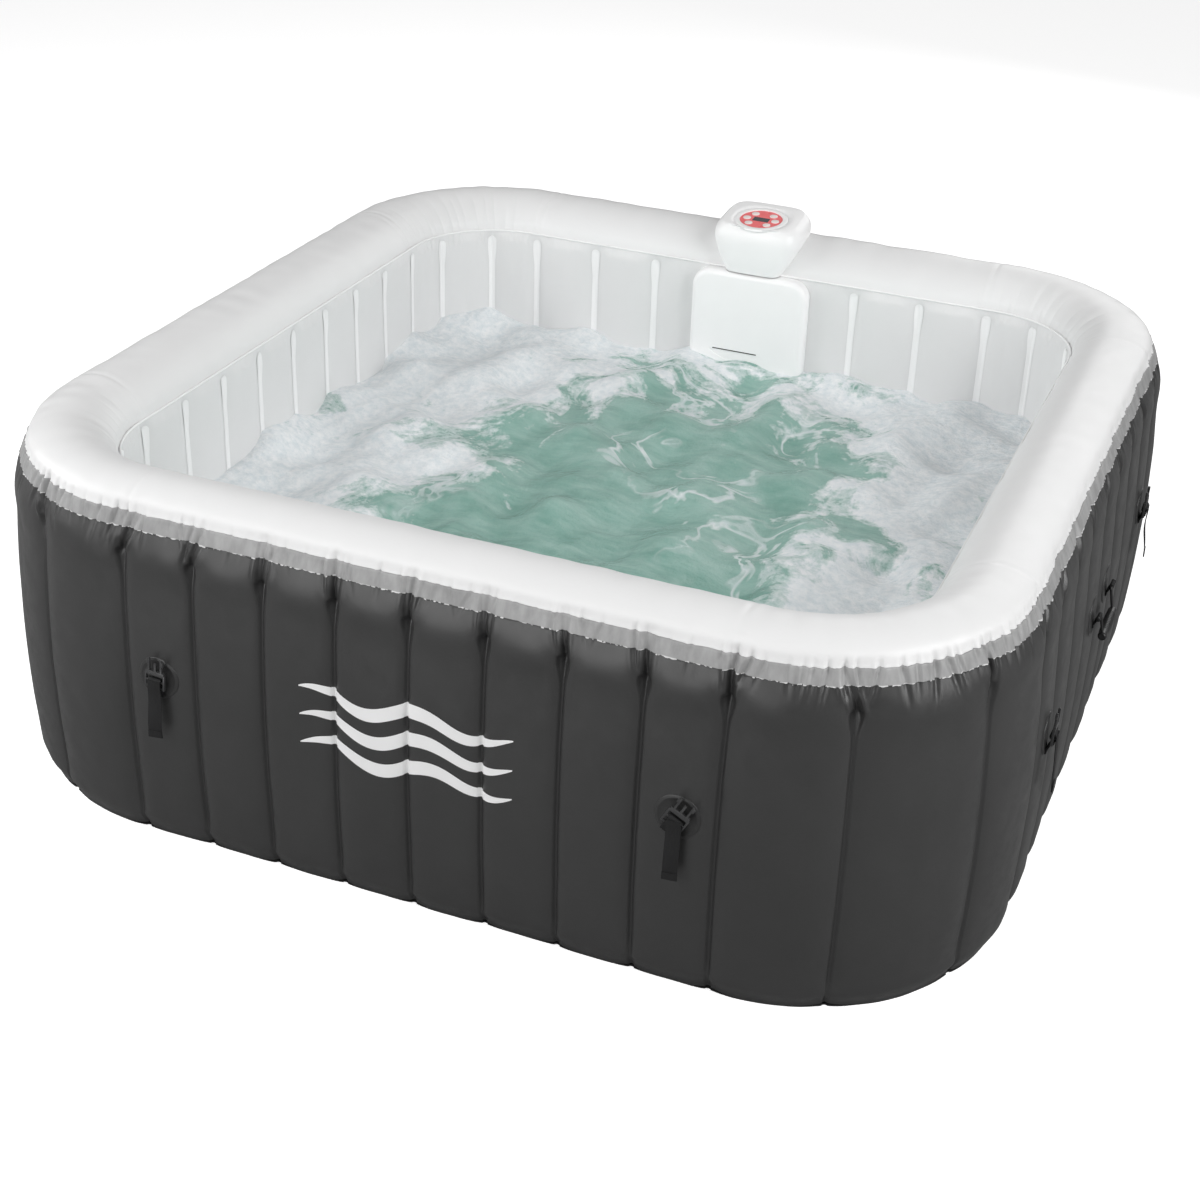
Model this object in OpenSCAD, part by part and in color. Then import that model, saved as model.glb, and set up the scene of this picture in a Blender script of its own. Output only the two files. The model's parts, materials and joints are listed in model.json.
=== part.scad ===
// Square inflatable hot tub with a built-in heater, filter and bubble unit.
// Millimetres. +Z is up, the tub stands on Z = 0 and the pool centre is the origin.
// The front is -Y. The control unit passes through the back wall, at +Y.

/* [Tub] */
// Outside width and depth of the inflated tub
outer_size = 1850; // [1800:10:1950]
// Height of the rim crest above the ground
tub_height = 650; // [640:5:660]
// Thickness of the inflated wall at its widest
wall_depth = 195; // [190:1:200]
// Outside corner radius, seen from above
corner_radius = 390; // [370:5:400]
// Thickness of the PVC skins
skin = 1.0; // [0.8:0.1:1.2]
// Height at which the outer wall is widest
belly_z = 230; // [200:10:260]
// Radius of the outer wall's barrel curve, seen from the side
belly_radius = 2790; // [2600:10:3000]

/* [Rim] */
// Radius of the rim tube
rim_radius = 96; // [95:0.5:97]
// Height of the weld between rim and outer wall
outer_seam_z = 610; // [606:1:612]
// Height of the weld between rim and inner wall
inner_seam_z = 585; // [580:1:590]
// Height of the grey tape that covers the outer weld
tape_height = 26; // [18:1:32]

/* [Webs] */
// Distance between the upright webs on the front and side walls
web_pitch = 130; // [125:1:132]
// Angles of the webs inside each corner, from its first side
corner_web_angles = [27, 63];
// Places of the webs on half of the back wall
back_webs = [230, 375, 520];
// Lowest and highest point of a web
web_z = [60, 545];

/* [Air jets] */
// Radius of the quarter-round bubble channel on the floor
channel_radius = 60; // [55:1:64]
// Diameter of one air jet hole
jet_diameter = 3.2; // [2:0.1:4]
// Number of air jets on each straight side
jets_per_side = 26; // [20:1:30]
// Number of air jets in each corner
jets_per_corner = 5; // [4:1:6]

/* [Fittings] */
// Distance of each cover buckle from the middle of its side
buckle_x = 455; // [450:1:460]
// Height of the buckle's anchor bar
buckle_z = 322; // [310:1:340]
// Lean of each buckle about the wall's normal, going round from the front left
buckle_lean = [5, 28, 8, -9, 12, -10, 6, -12];
// Height of the carry handles' pivots
handle_z = 352; // [340:1:365]
// Half the distance between a handle's two patches
handle_x = 65; // [60:1:68]
// Radius of the round reinforcement patches
patch_radius = 37.5; // [34:0.5:38]
// Place of the inflation valve along the back wall
valve_x = -302; // [-304:1:-300]
// Height of the inflation valve
valve_z = 430; // [420:1:440]
// Place of the drain along the back wall
drain_x = 302; // [300:1:304]
// Height of the drain
drain_z = 105; // [100:1:110]

/* [Control unit] */
// Width of the case inside the wall
case_w = 312; // [308:1:316]
// Lowest and highest face of the case
case_z = [36, 558];
// Width of the panel that faces the pool
panel_w = 264; // [258:1:268]
// Lowest and highest edge of the panel that faces the pool
panel_z = [112, 578];
// Wall thickness of the plastic mouldings
shell = 3; // [2.5:0.1:3.5]
// Tilt of the control panel towards the pool
panel_tilt = 6; // [4:1:8]
// Diameter of one button
button_d = 17; // [16:0.5:17]
// Radius of the circle that the buttons stand on
button_ring = 32; // [31:0.5:33]
// Filter centre, across and up
filter_at = [-58, 232];
// Water outlet centre, across and up
outlet_at = [72, 150];

/* [Hidden] */
$fn = 96;

gap = 0.3;                                   // clearance between welded or seated pieces
past = 50;                                   // how far a drill or cutting box reaches past a tub wall
half = outer_size / 2;
corner_at = half - corner_radius;            // corner centres stand at +-corner_at
inner_radius = corner_radius - wall_depth;   // corner radius of the pool
inner_half = half - wall_depth;
rim_rho = 286;                               // rim tube centre, measured out from the corner centre
rim_z = tub_height - rim_radius;

unit_half = case_w / 2;
sleeve_gap = 4;                              // the sleeve stands this far outside the case
sleeve_half = unit_half + sleeve_gap;
case_front_y = inner_half + 3;
cup_depth = 100;                             // depth of the filter cup behind the case's front face
cup_radius = 60;                             // outside and inside radii of the filter cup
cup_bore = 56;
pipe_y = half - 53;                          // the pipes behind the pump rise at this distance
suction_y = case_front_y + 118;              // the filter's outlet and the pump's axis
spigot_radius = 10;
spigot_bore = 7.5;
hose_radius = 13;                            // outside of the water and air hoses
hose_bore = 10.2;
case_back_y = half - 22;                     // rear edge of the case, and the rear cover's back face
cover_back_y = half + 11;
panel_front_y = inner_half - 28;             // faces of the panel on the pool side
panel_back_y = inner_half - 0.5;
boss_half = 120;                             // half-width and ends of the panel's boss, which meets the case
boss_z = [130, 538];
head_pivot = [0, 758, 688.5];                // centre of the control panel's top face
cord_radius = 4.5;
valve_hole = 18.5;                           // radii of the openings in the tub's walls
drain_hole = 17.5;
flip_limit_clear = 7.5;                      // stand-off of a buckle's anchor bar from its patch

// --- Colours ---
function pvc_black() = [0.17, 0.17, 0.18];
function pvc_white() = [0.95, 0.95, 0.95];
function pvc_grey() = [0.84, 0.84, 0.84];
function abs_white() = [0.96, 0.96, 0.96];
function black_plastic() = [0.08, 0.08, 0.08];

// --- Helpers ---

// Sweeps a profile, drawn as [distance from corner centre, z], round the square tub.
module sweep_square() {
    for (side = [0:3]) rotate([0, 0, 90 * side]) {
        translate([corner_at, corner_at, 0]) rotate([90, 0, 0])
            linear_extrude(2 * corner_at) children();
        translate([corner_at, corner_at, 0]) rotate_extrude(angle = 90) children();
    }
}

// A flat sheet with the tub's plan, out to rho from the corner centres.
module square_sheet(rho, z0, z1) {
    translate([0, 0, z0]) linear_extrude(z1 - z0)
        rounded_rect(2 * (corner_at + rho), 2 * (corner_at + rho), rho);
}

module rounded_rect(w, h, r) {
    square([w - 2 * r, h], center = true);
    square([w, h - 2 * r], center = true);
    for (sx = [-1, 1], sy = [-1, 1]) translate([sx * (w / 2 - r), sy * (h / 2 - r)]) circle(r);
}

// The region of the profile plane between two radii of the outer wall's barrel curve.
module barrel_band(r0, r1, z0, z1) {
    intersection() {
        translate([corner_radius - belly_radius, belly_z]) difference() {
            circle(r1, $fn = 360);
            circle(r0, $fn = 360);
        }
        translate([inner_radius + 80, z0]) square([wall_depth, z1 - z0]);
    }
}

// Places children in a wall frame: X along the wall, Y straight out of it and Z up.
module on_wall(side, along, z, lean = 0) {
    rotate([0, 0, 90 * side]) translate([along, -half, z]) rotate([0, lean, 0]) rotate([0, 0, 180])
        children();
}

// A cylinder along +Y from y0 to y1.
module rod_y(x, z, r, y0, y1) {
    translate([x, y0, z]) rotate([-90, 0, 0]) cylinder(r = r, h = y1 - y0);
}

module rod_x(y, z, r, x0, x1) {
    translate([x0, y, z]) rotate([0, 90, 0]) cylinder(r = r, h = x1 - x0);
}

module box(x0, x1, y0, y1, z0, z1) {
    translate([x0, y0, z0]) cube([x1 - x0, y1 - y0, z1 - z0]);
}

// A rounded rectangle in the XZ plane, extruded from y0 to y1.
module plate_xz(x0, x1, z0, z1, r, y0, y1) {
    translate([(x0 + x1) / 2, y1, (z0 + z1) / 2]) rotate([90, 0, 0])
        linear_extrude(y1 - y0) rounded_rect(x1 - x0, z1 - z0, r);
}

// --- Tub ---

module outer_wall() color(pvc_black()) difference() {
    sweep_square() barrel_band(belly_radius - skin, belly_radius, skin + gap, outer_seam_z - 1.5);
    box(-sleeve_half, sleeve_half, inner_half + past, half + past,
        case_z[0] - sleeve_gap, case_z[1] + sleeve_gap);
    rod_y(valve_x, valve_z, valve_hole, half - past, half + past);
    rod_y(drain_x, drain_z, drain_hole, half - past, half + past);
}

module top_rim() color(pvc_white()) sweep_square() intersection() {
    translate([rim_rho, rim_z]) difference() {
        circle(rim_radius);
        circle(rim_radius - skin);
    }
    union() {
        translate([rim_rho, outer_seam_z]) square([rim_radius, rim_radius]);
        translate([rim_rho - rim_radius, inner_seam_z]) square([rim_radius, rim_radius]);
    }
}

module rim_seam_tape() color([0.62, 0.62, 0.63]) sweep_square()
    barrel_band(belly_radius + gap, belly_radius + gap + skin,
        outer_seam_z - tape_height, outer_seam_z - 0.5);

module inner_wall() color(pvc_grey()) difference() {
    sweep_square() translate([inner_radius, 2 * skin + 2 * gap])
        square([skin, inner_seam_z - 0.5 - 2 * skin - 2 * gap]);
    box(-boss_half - 2, boss_half + 2, inner_half - past, inner_half + past, boss_z[0] - 2, boss_z[1] + 2);
    rod_y(drain_x, drain_z, drain_hole, inner_half - past, inner_half + past);
    rod_y(bubble_feed[0], bubble_feed[1], feed_hose + 0.5, inner_half - past, inner_half + past);
}

module floor_liner() color(pvc_grey()) square_sheet(inner_radius - gap, skin + gap, 2 * skin + gap);

module base_sheet() color(pvc_black()) square_sheet(corner_radius - 11, 0, skin);

module wall_webs() color([0.8, 0.8, 0.8]) {
    front_steps = [-4:4];
    for (side = [0, 1, 3]) rotate([0, 0, 90 * side])
        for (i = front_steps) translate([i * web_pitch, 0, 0]) web();
    rotate([0, 0, 180]) for (x = back_webs, s = [-1, 1]) translate([s * x, 0, 0]) web();
    for (side = [0:3], a = corner_web_angles) rotate([0, 0, 90 * side])
        translate([corner_at, -corner_at, 0]) rotate([0, 0, a]) translate([0, corner_at, 0]) web();
}

// One upright web of the front wall, in the plane X = 0.
module web() {
    translate([skin / 2, -corner_at, 0]) rotate([90, 0, -90]) linear_extrude(skin) intersection() {
        translate([corner_radius - belly_radius, belly_z]) circle(belly_radius - skin - gap, $fn = 360);
        translate([inner_radius + skin + gap, web_z[0]]) square([wall_depth, web_z[1] - web_z[0]]);
    }
}

module bubble_channel() color(pvc_white()) difference() {
    sweep_square() translate([inner_radius - gap, 2 * skin + 2 * gap]) intersection() {
        difference() {
            circle(channel_radius);
            circle(channel_radius - skin);
        }
        translate([-channel_radius, 0]) square(channel_radius);
    }
    jet_pitch = 2 * corner_at / jets_per_side;
    for (side = [0:3]) rotate([0, 0, 90 * side]) {
        for (i = [0:jets_per_side - 1])
            translate([-corner_at + (i + 0.5) * jet_pitch, -inner_half, 2]) jet();
        for (i = [0:jets_per_corner - 1]) translate([corner_at, -corner_at, 0])
            rotate([0, 0, (i + 0.5) * 90 / jets_per_corner]) translate([0, -inner_radius, 2]) jet();
    }
}

jet_drill = 16;                 // length of the drill that makes one jet

// Drill for one air jet, aimed up and into the pool at 45 degrees.
module jet() rotate([-45, 0, 0]) translate([0, 0, channel_radius - jet_drill / 2])
    cylinder(d = jet_diameter, h = jet_drill, $fn = 24);

module unit_sleeve() color([0.75, 0.75, 0.75]) difference() {
    z0 = case_z[0] - sleeve_gap;
    z1 = case_z[1] + sleeve_gap;
    box(-sleeve_half, sleeve_half, inner_half + skin + gap, case_back_y, z0, z1);
    box(-sleeve_half + skin, sleeve_half - skin, inner_half, half, z0 + skin, z1 - skin);
}

// --- Patches, buckles, straps and handles ---

patch_back = 0.4;             // patches stand just off the widest point of the wall behind them
patch_front = patch_back - 1.4;
patch_rise = 12;              // a buckle's patch is centred this far above its anchor bar
bar_hole = 2.6;               // radius of the loop that holds a bar

module wall_patches() color(black_plastic()) {
    for (i = [0:7]) buckle_frame(i) {
        translate([0, 0, patch_rise]) patch_disc();
        anchor_tab(12);
    }
    for (side = [1, 3], s = [-1, 1]) on_wall(side, s * handle_x, handle_z) {
        patch_disc();
        anchor_tab(10);
    }
}

// Wall frame of buckle i, with its origin where the anchor bar's axis meets the wall plane.
module buckle_frame(i) {
    on_wall(floor(i / 2), (i % 2 == 0 ? -1 : 1) * buckle_x, buckle_z, buckle_lean[i]) children();
}

module patch_disc() rod_y(0, 0, patch_radius, -patch_back, -patch_front);

// Webbing tab welded to a patch, with a loop that holds a bar at flip_limit_clear from the patch.
module anchor_tab(half_w) difference() {
    union() {
        box(-half_w, half_w, -patch_front - 0.5, bar_y() - bar_hole, -14, 0);
        rod_x(bar_y(), 0, 4, -half_w, half_w);
    }
    rod_x(bar_y(), 0, bar_hole, -half_w - 1, half_w + 1);
}

function bar_y() = -patch_front + flip_limit_clear;

bar_step = 12;                // distance between the bars of a buckle
arm_x = 17;                   // half the distance between the middles of a buckle's side arms
bar_r = 2.2;                  // radius of a buckle's bars
arm_half = 2.3;               // half the thickness of a buckle's frame
prong_z = 2 * bar_step + 5;   // the prongs start here, inside the frame's top bar

// Side-release plug with a two-slot strap adjuster. It turns about its lowest bar.
module buckle(i) color(black_plastic()) buckle_frame(i) translate([0, bar_y(), 0]) {
    for (s = [-1, 1]) {
        box(s * arm_x - 1.5, s * arm_x + 1.5, -arm_half, arm_half, -arm_half, prong_z - 2);
        prong(s);
    }
    for (k = [0, 1]) rod_x(0, k * bar_step, bar_r, -arm_x, arm_x);
    box(-arm_x, arm_x, -arm_half, arm_half, prong_z - 6, prong_z + 2);
    box(-2, 2, -1.5, 1.5, prong_z, prong_z + 17);
}

// One spring arm of the plug, with its latch head.
module prong(s) {
    box(s * 11.5 - 1.6, s * 11.5 + 1.6, -2, 2, prong_z, prong_z + 25);
    box(s * 13 - 2.6, s * 13 + 2.6, -2.2, 2.2, prong_z + 15, prong_z + 23);
}

webbing = 1.4;                // thickness of the webbing
webbing_width = 25;
loop_radius = 4.6;            // inside radius of the webbing's loop round a buckle's bar
tail_y = loop_radius + 0.1;   // the tail leaves the loop just outside its bore
tail_length = 104;
hem_length = 12;

// Free end of the webbing, looped round the buckle's middle bar and hanging down.
module strap(i) color(black_plastic()) buckle_frame(i) translate([0, bar_y(), bar_step]) difference() {
    w = webbing_width / 2;
    union() {
        rod_x(0, 0, loop_radius + webbing, -w, w);
        rotate([0, buckle_lean[i], 0]) {
            box(-w, w, tail_y, tail_y + webbing, -tail_length, 0);
            box(-w, w, tail_y, tail_y + 2 * webbing, -tail_length, hem_length - tail_length);
        }
    }
    rod_x(0, 0, loop_radius, -20, 20);
}

rod_radius = 2.5;
elbow_radius = 3.2;           // knuckle where the pivot rod turns into an arm
grip_out = 9;                 // the grip hangs this far out from the pivots
grip_drop = 46;               // and this far below them

// Bail handle: a bent rod held by two patch tabs, with a moulded grip across it.
module handle(side) color(black_plastic()) on_wall(side, 0, handle_z) translate([0, bar_y(), 0]) {
    inner_x = handle_x - 14;
    for (s = [0, 1]) mirror([s, 0, 0]) {
        rod_x(0, 0, rod_radius, inner_x, handle_x + 13);
        rod_x(0, 0, 4, handle_x + 12, handle_x + 14);
        translate([inner_x, 0, 0]) sphere(elbow_radius);
        translate([inner_x, 0, 0]) rotate([180 + atan2(grip_out, grip_drop), 0, 0])
            cylinder(r = rod_radius, h = norm([grip_out, grip_drop]));
    }
    rod_x(grip_out, -grip_drop, 9.5, -inner_x - 4, inner_x + 4);
}

// --- Inflation valve and drain ---

valve_flange = [30, 2.5];     // radius and thickness of the flange welded to the wall
valve_neck = 17.5;            // radius of the threaded neck, and of its bore
valve_bore = 14;
drain_flange = [28, 3];
drain_neck = 17;
drain_bore = 13;
rib_radius = 1.4;             // grip ribs round a cap

module air_valve_body() color(black_plastic()) difference() {
    union() {
        rod_y(valve_x, valve_z, valve_flange[0], half + 1, half + 1 + valve_flange[1]);
        rod_y(valve_x, valve_z, valve_neck, half - 60, half + 14);
    }
    rod_y(valve_x, valve_z, valve_bore, half - 57, half + 15);
    for (a = [0:60:300]) translate([valve_x, 0, valve_z]) rotate([0, a, 0])
        rod_y(8, 0, 3, half - 61, half - 56);
}

// Screw cap from y0 to y1, open towards the wall, with twelve grip ribs.
module ribbed_cap(r, bore, y0, y1) {
    difference() {
        rod_y(0, 0, r, y0, y1);
        rod_y(0, 0, bore, y0 - 1, y1 - 4);
    }
    for (a = [0:30:330]) rotate([0, a, 0]) rod_y(r, 0, rib_radius, y0 + 1, y1 - 1);
}

module air_valve_cap() color(black_plastic()) translate([valve_x, 0, valve_z])
    ribbed_cap(23, valve_neck + gap, half + 4, half + 20);

module drain_fitting() color(black_plastic()) difference() {
    union() {
        rod_y(drain_x, drain_z, drain_neck, inner_half - 3.5, half + 26);
        rod_y(drain_x, drain_z, drain_flange[0], half + 1, half + 1 + drain_flange[1]);
        rod_y(drain_x, drain_z, drain_flange[0], inner_half - 1 - drain_flange[1], inner_half - 1);
    }
    rod_y(drain_x, drain_z, drain_bore, inner_half - 5, half + 27);
}

module drain_cap() color(black_plastic()) translate([drain_x, 0, drain_z])
    ribbed_cap(22, drain_neck + gap, half + 5, half + 31);

module drain_plug() color(pvc_white()) translate([drain_x, 0, drain_z]) {
    rod_y(0, 0, drain_bore - 0.2, inner_half - 5, inner_half + 14);
    rod_y(0, 0, 21, inner_half - 9, inner_half - 4.5);
    box(-3, 3, inner_half - 18, inner_half - 8, -15, 15);
}

// --- Control unit: case and covers ---

suction_neck = 24;            // radius of the neck between the filter cup and the pump
outlet_flange = 26;           // radii of the ring round the water outlet, and of its opening
outlet_bore = 21;
post_radius = 5;              // posts that the rear cover's screws bite into
case_corner = 14;
panel_corner = 38;
boss_corner = 20;

// A rounded tray with walls of thickness shell, open at y1.
module tray(x, z, r, y0, y1) difference() {
    plate_xz(-x, x, z[0], z[1], r, y0, y1);
    plate_xz(-x + shell, x - shell, z[0] + shell, z[1] - shell, r - shell, y0 + shell, y1 + 1);
}

module unit_case() color(abs_white()) difference() {
    union() {
        tray(unit_half, case_z, case_corner, case_front_y, case_back_y);
        rod_y(filter_at[0], filter_at[1], cup_radius, case_front_y, case_front_y + cup_depth);
        rod_y(filter_at[0], filter_at[1], suction_neck, case_front_y, suction_y + 20);
        rod_x(suction_y, filter_at[1], spigot_radius, filter_at[0], filter_at[0] + 44);
        rod_y(outlet_at[0], outlet_at[1], spigot_radius, case_front_y, case_front_y + 22);
        for (p = screw_places()) rod_y(p[0], p[1], post_radius, case_front_y + 1, case_back_y);
        pump_shelf();
        for (z = [-36, 36]) rod_y(blower_at[0], blower_at[1] + z, 6, case_front_y + 1, blower_y[0] - gap);
        for (s = [-1, 1]) mirror([s > 0 ? 1 : 0, 0, 0]) heater_bracket();
    }
    difference() {
        rod_y(filter_at[0], filter_at[1], cup_bore, case_front_y - 1, case_front_y + cup_depth - 4);
        rod_y(filter_at[0], filter_at[1], 20, case_front_y + cup_depth - 34, case_front_y + cup_depth);
    }
    rod_y(filter_at[0], filter_at[1], 17, case_front_y + cup_depth - 35, suction_y + 16);
    rod_x(suction_y, filter_at[1], spigot_bore, filter_at[0], filter_at[0] + 45);
    rod_y(outlet_at[0], outlet_at[1], spigot_bore, case_front_y - 1, case_front_y + 23);
    rod_y(bubble_feed[0], bubble_feed[1], feed_hose + 0.5, case_front_y - 1, case_front_y + 5);
    for (p = screw_places()) rod_y(p[0], p[1], 1.7, case_back_y - 24, case_back_y + 1);
}

// Shelf on the case's side wall that carries the pump's motor.
module pump_shelf() {
    top = filter_at[1] - motor_radius - gap;
    box(pump_x[1] + 6, unit_half - 1, suction_y - 40, suction_y + 40, top - 5.7, top);
}

// Block on the case's side wall that holds one end of the heater.
module heater_bracket() {
    y = heater_at[0];
    z = heater_at[1];
    box(heater_half + gap, unit_half - 1, y - 12, y + 12, z - 8, z + 8);
}

// Places of the rear cover's screws, across and up.
function screw_places() = [for (x = [-143, 143], z = [52, 297, 542]) [x, z]];

module inner_panel() color(abs_white()) difference() {
    union() {
        tray(panel_w / 2, panel_z, panel_corner, panel_front_y, panel_back_y);
        difference() {
            plate_xz(-boss_half, boss_half, boss_z[0], boss_z[1],
                boss_corner, panel_front_y + 1, case_front_y - 0.2);
            plate_xz(-boss_half + shell, boss_half - shell, boss_z[0] + shell, boss_z[1] - shell,
                boss_corner - shell, panel_front_y, case_front_y);
        }
        rod_y(outlet_at[0], outlet_at[1], outlet_flange, panel_front_y - 4, panel_front_y + 2);
    }
    rod_y(filter_at[0], filter_at[1], cup_bore + 1, panel_front_y - 1, panel_front_y + 5);
    difference() {
        rod_y(outlet_at[0], outlet_at[1], outlet_bore, panel_front_y - 5, panel_front_y + 5);
        for (a = [0:45:135]) translate([outlet_at[0], 0, outlet_at[1]]) rotate([0, a, 0])
            box(-outlet_bore - 1, outlet_bore + 1, panel_front_y - 3, panel_front_y + 1, -1.2, 1.2);
    }
}

module rear_cover() color(black_plastic()) difference() {
    union() {
        difference() {
            plate_xz(-unit_half, unit_half, case_z[0], case_z[1],
                case_corner, case_back_y + 0.5, cover_back_y);
            plate_xz(-unit_half + shell, unit_half - shell, case_z[0] + shell, case_z[1] - shell,
                case_corner - shell, case_back_y, cover_back_y - shell);
        }
        for (p = screw_places()) rod_y(p[0], p[1], post_radius + 2, case_back_y + 0.5, cover_back_y - 1);
        rod_y(port_at[0], port_at[1], port_radius, cover_back_y - 1, cover_back_y + port_length);
        rod_y(port_at[0], port_at[1], spigot_radius, case_back_y - 14, cover_back_y - 1);
        rod_y(gland_at[0], gland_at[1], 2 * cord_radius, cover_back_y - 1, cover_back_y + 10);
    }
    rod_y(port_at[0], port_at[1], port_radius - 3, cover_back_y, cover_back_y + port_length + 1);
    rod_y(port_at[0], port_at[1], spigot_bore, case_back_y - 15, cover_back_y);
    rod_y(gland_at[0], gland_at[1], cord_radius + gap, case_back_y, cover_back_y + 11);
    for (p = screw_places()) rod_y(p[0], p[1], 2.3, case_back_y, cover_back_y + 1);
    for (z = [140:12:272]) plate_xz(-60, 100, z, z + 5, 2.4, cover_back_y - shell - 1, cover_back_y + 1);
}

port_at = [-76, 488];      // inflation air outlet, across and up
port_radius = 19;
port_length = 26;
gland_at = [112, 84];      // cable gland, across and up

module cover_screws() color([0.7, 0.7, 0.72]) for (p = screw_places()) difference() {
    union() {
        rod_y(p[0], p[1], 4.2, cover_back_y + 0.1, cover_back_y + 2.6);
        rod_y(p[0], p[1], 1.6, case_back_y - 18, cover_back_y + 1);
    }
    for (a = [0, 90]) translate([p[0], 0, p[1]]) rotate([0, a, 0])
        box(-2.6, 2.6, cover_back_y + 1.2, cover_back_y + 3, -0.5, 0.5);
}

// --- Control unit: head on the rim ---

module on_panel() translate(head_pivot) rotate([panel_tilt, 0, 0]) children();

// Smooth outer form of the head, shrunk by inset on every side.
module head_form(inset) hull() {
    for (s = [-1, 1]) {
        on_panel() for (p = [[s * 72, -28, -14], [s * 64, 58, -14]])
            translate(p) sphere(14 - inset, $fn = 32);
        translate([s * 86, 718, 648]) sphere(14 - inset, $fn = 32);
        translate([s * 86, 842, 652]) sphere(14 - inset, $fn = 32);
        translate([s * 54, 714, 590]) sphere(10 - inset, $fn = 32);
    }
}

head_reach = 200;             // cutting shapes for the head reach this far to each side

module rim_saddle(r) rod_x(corner_at + rim_rho, rim_z, r, -head_reach, head_reach);

// Drops the part of the head that would reach below the rim and behind the inner wall.
module head_limits() {
    rim_saddle(rim_radius + 1);
    box(-head_reach, head_reach, inner_half - 8, half, 400, rim_z + 30);
}

module head_cover() color(abs_white()) difference() {
    head_form(0);
    head_form(shell);
    head_limits();
    on_panel() translate([0, 0, -shell - 2]) cylinder(d = bezel_hole, h = shell + 4);
    on_panel() translate([0, 0, -1]) cylinder(d = bezel_d + 1, h = 4);
    box(-60, 60, 700, 760, 570, 582.5);
}

module head_base() color(abs_white()) intersection() {
    head_form(shell + gap);
    difference() {
        rim_saddle(rim_radius + 4.5);
        rim_saddle(rim_radius + 1.2);
    }
    box(-95, 95, 720, 900, 610, 700);
}

function button_angles() = [130, 180, 230, 50, 0, 310];

bezel_d = 117;                // outside of the ring round the control panel
bezel_hole = 100;             // opening in the head below it
overlay_d = 93;               // printed sheet inside the ring
button_play = 0.8;            // a button's hole is this much wider than the button

module at_button(i) on_panel() rotate([0, 0, button_angles()[i]]) translate([button_ring, 0, 0]) children();

module panel_bezel() color(abs_white()) difference() {
    union() {
        on_panel() difference() {
            translate([0, 0, -0.9]) cylinder(d = bezel_d, h = 2.9);
            translate([0, 0, -1]) cylinder(d = overlay_d + 1, h = 4);
        }
        on_panel() translate([0, 0, -3]) cylinder(d = bezel_hole - 1, h = 2.1);
        on_panel() for (a = [25, 155, 205, 335]) rotate([0, 0, a]) translate([44, 0, -7.9])
            cylinder(d = 5, h = 6);
    }
    for (i = [0:5]) at_button(i) translate([0, 0, -4]) cylinder(d = button_d + button_play, h = 5);
    on_panel() box(-16, 16, -8, 8, -4, 2);
}

module panel_overlay() color([0.9, 0.25, 0.27]) difference() {
    on_panel() translate([0, 0, -0.8]) cylinder(d = overlay_d, h = 1.2);
    for (i = [0:5]) at_button(i) translate([0, 0, -4]) cylinder(d = button_d + button_play, h = 8);
    on_panel() box(-18, 18, -10, 10, -4, 4);
}

module display_window() color([0.35, 0.36, 0.38]) on_panel() box(-17.7, 17.7, -9.7, 9.7, -0.8, 0.6);

module button(i) color([0.97, 0.93, 0.9]) at_button(i) {
    translate([0, 0, -4.2]) cylinder(d = button_d, h = 5.6);
    translate([0, 0, -5.2]) cylinder(d = button_d + 2.5, h = 2);
}

module control_board() color([0.1, 0.35, 0.2]) {
    on_panel() {
        intersection() {
            translate([0, 0, -9.6]) cylinder(d = 98, h = 1.6);
            box(-50, 50, -35, 50, -10, -7);
        }
        box(-15, 15, -7, 7, -8.5, -1.6);
    }
    for (i = [0:5]) at_button(i) translate([0, 0, -8.5]) cylinder(d = 6, h = 2.4);
}

// --- Control unit: pump, blower, heater, filter and hoses ---

pump_x = [48, 84, 140];    // front of the pump's volute, its back and the motor's end
volute_radius = 46;        // outside and inside radii of the volute
volute_bore = 40;
motor_radius = 36;
pump_shaft = 4;
blower_at = [-76, 356];    // blower axis, across and up
blower_y = [742, 790, 852];// front of the blower's scroll, its back and the motor's end
blower_mid = (blower_y[0] + blower_y[1]) / 2;
scroll_radius = 54;        // outside and inside radii of the scroll
scroll_bore = 49;
blower_shaft = 3;
shaft_play = 0.05;         // a shaft's hole is this much wider, on the radius
side_tube = 8;             // radius of the blower's tube to the bubble hose, and of its bore
side_bore = 4.5;
heater_radius = 24;
heater_at = [pipe_y, 442]; // heater axis, back and up
heater_half = 130;
heater_in = 66;            // places of the heater's inlet and outlet
heater_out = -118;
bubble_feed = [-128, 50];  // bubble hose where it passes through the pool wall, across and up
feed_hose = 9.5;           // outside and inside radii of the bubble hose
feed_bore = 7.2;

module circulation_pump() color([0.25, 0.25, 0.27]) translate([0, suction_y, filter_at[1]]) difference() {
    union() {
        rod_x(0, 0, volute_radius, pump_x[0], pump_x[1]);
        rod_x(0, 0, motor_radius, pump_x[1], pump_x[2]);
        rod_x(0, 0, spigot_radius, pump_x[0] - 20, pump_x[0] + 1);
        translate([heater_in, pipe_y - suction_y, 0]) cylinder(r = spigot_radius, h = 68);
    }
    rod_x(0, 0, volute_bore, pump_x[0] + 4, pump_x[1] - 6);
    rod_x(0, 0, spigot_bore, pump_x[0] - 21, pump_x[0] + 5);
    rod_x(0, 0, pump_shaft + shaft_play, pump_x[1] - 7, pump_x[2] - 6);
    translate([heater_in, pipe_y - suction_y, 0]) cylinder(r = spigot_bore, h = 69);
}

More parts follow.
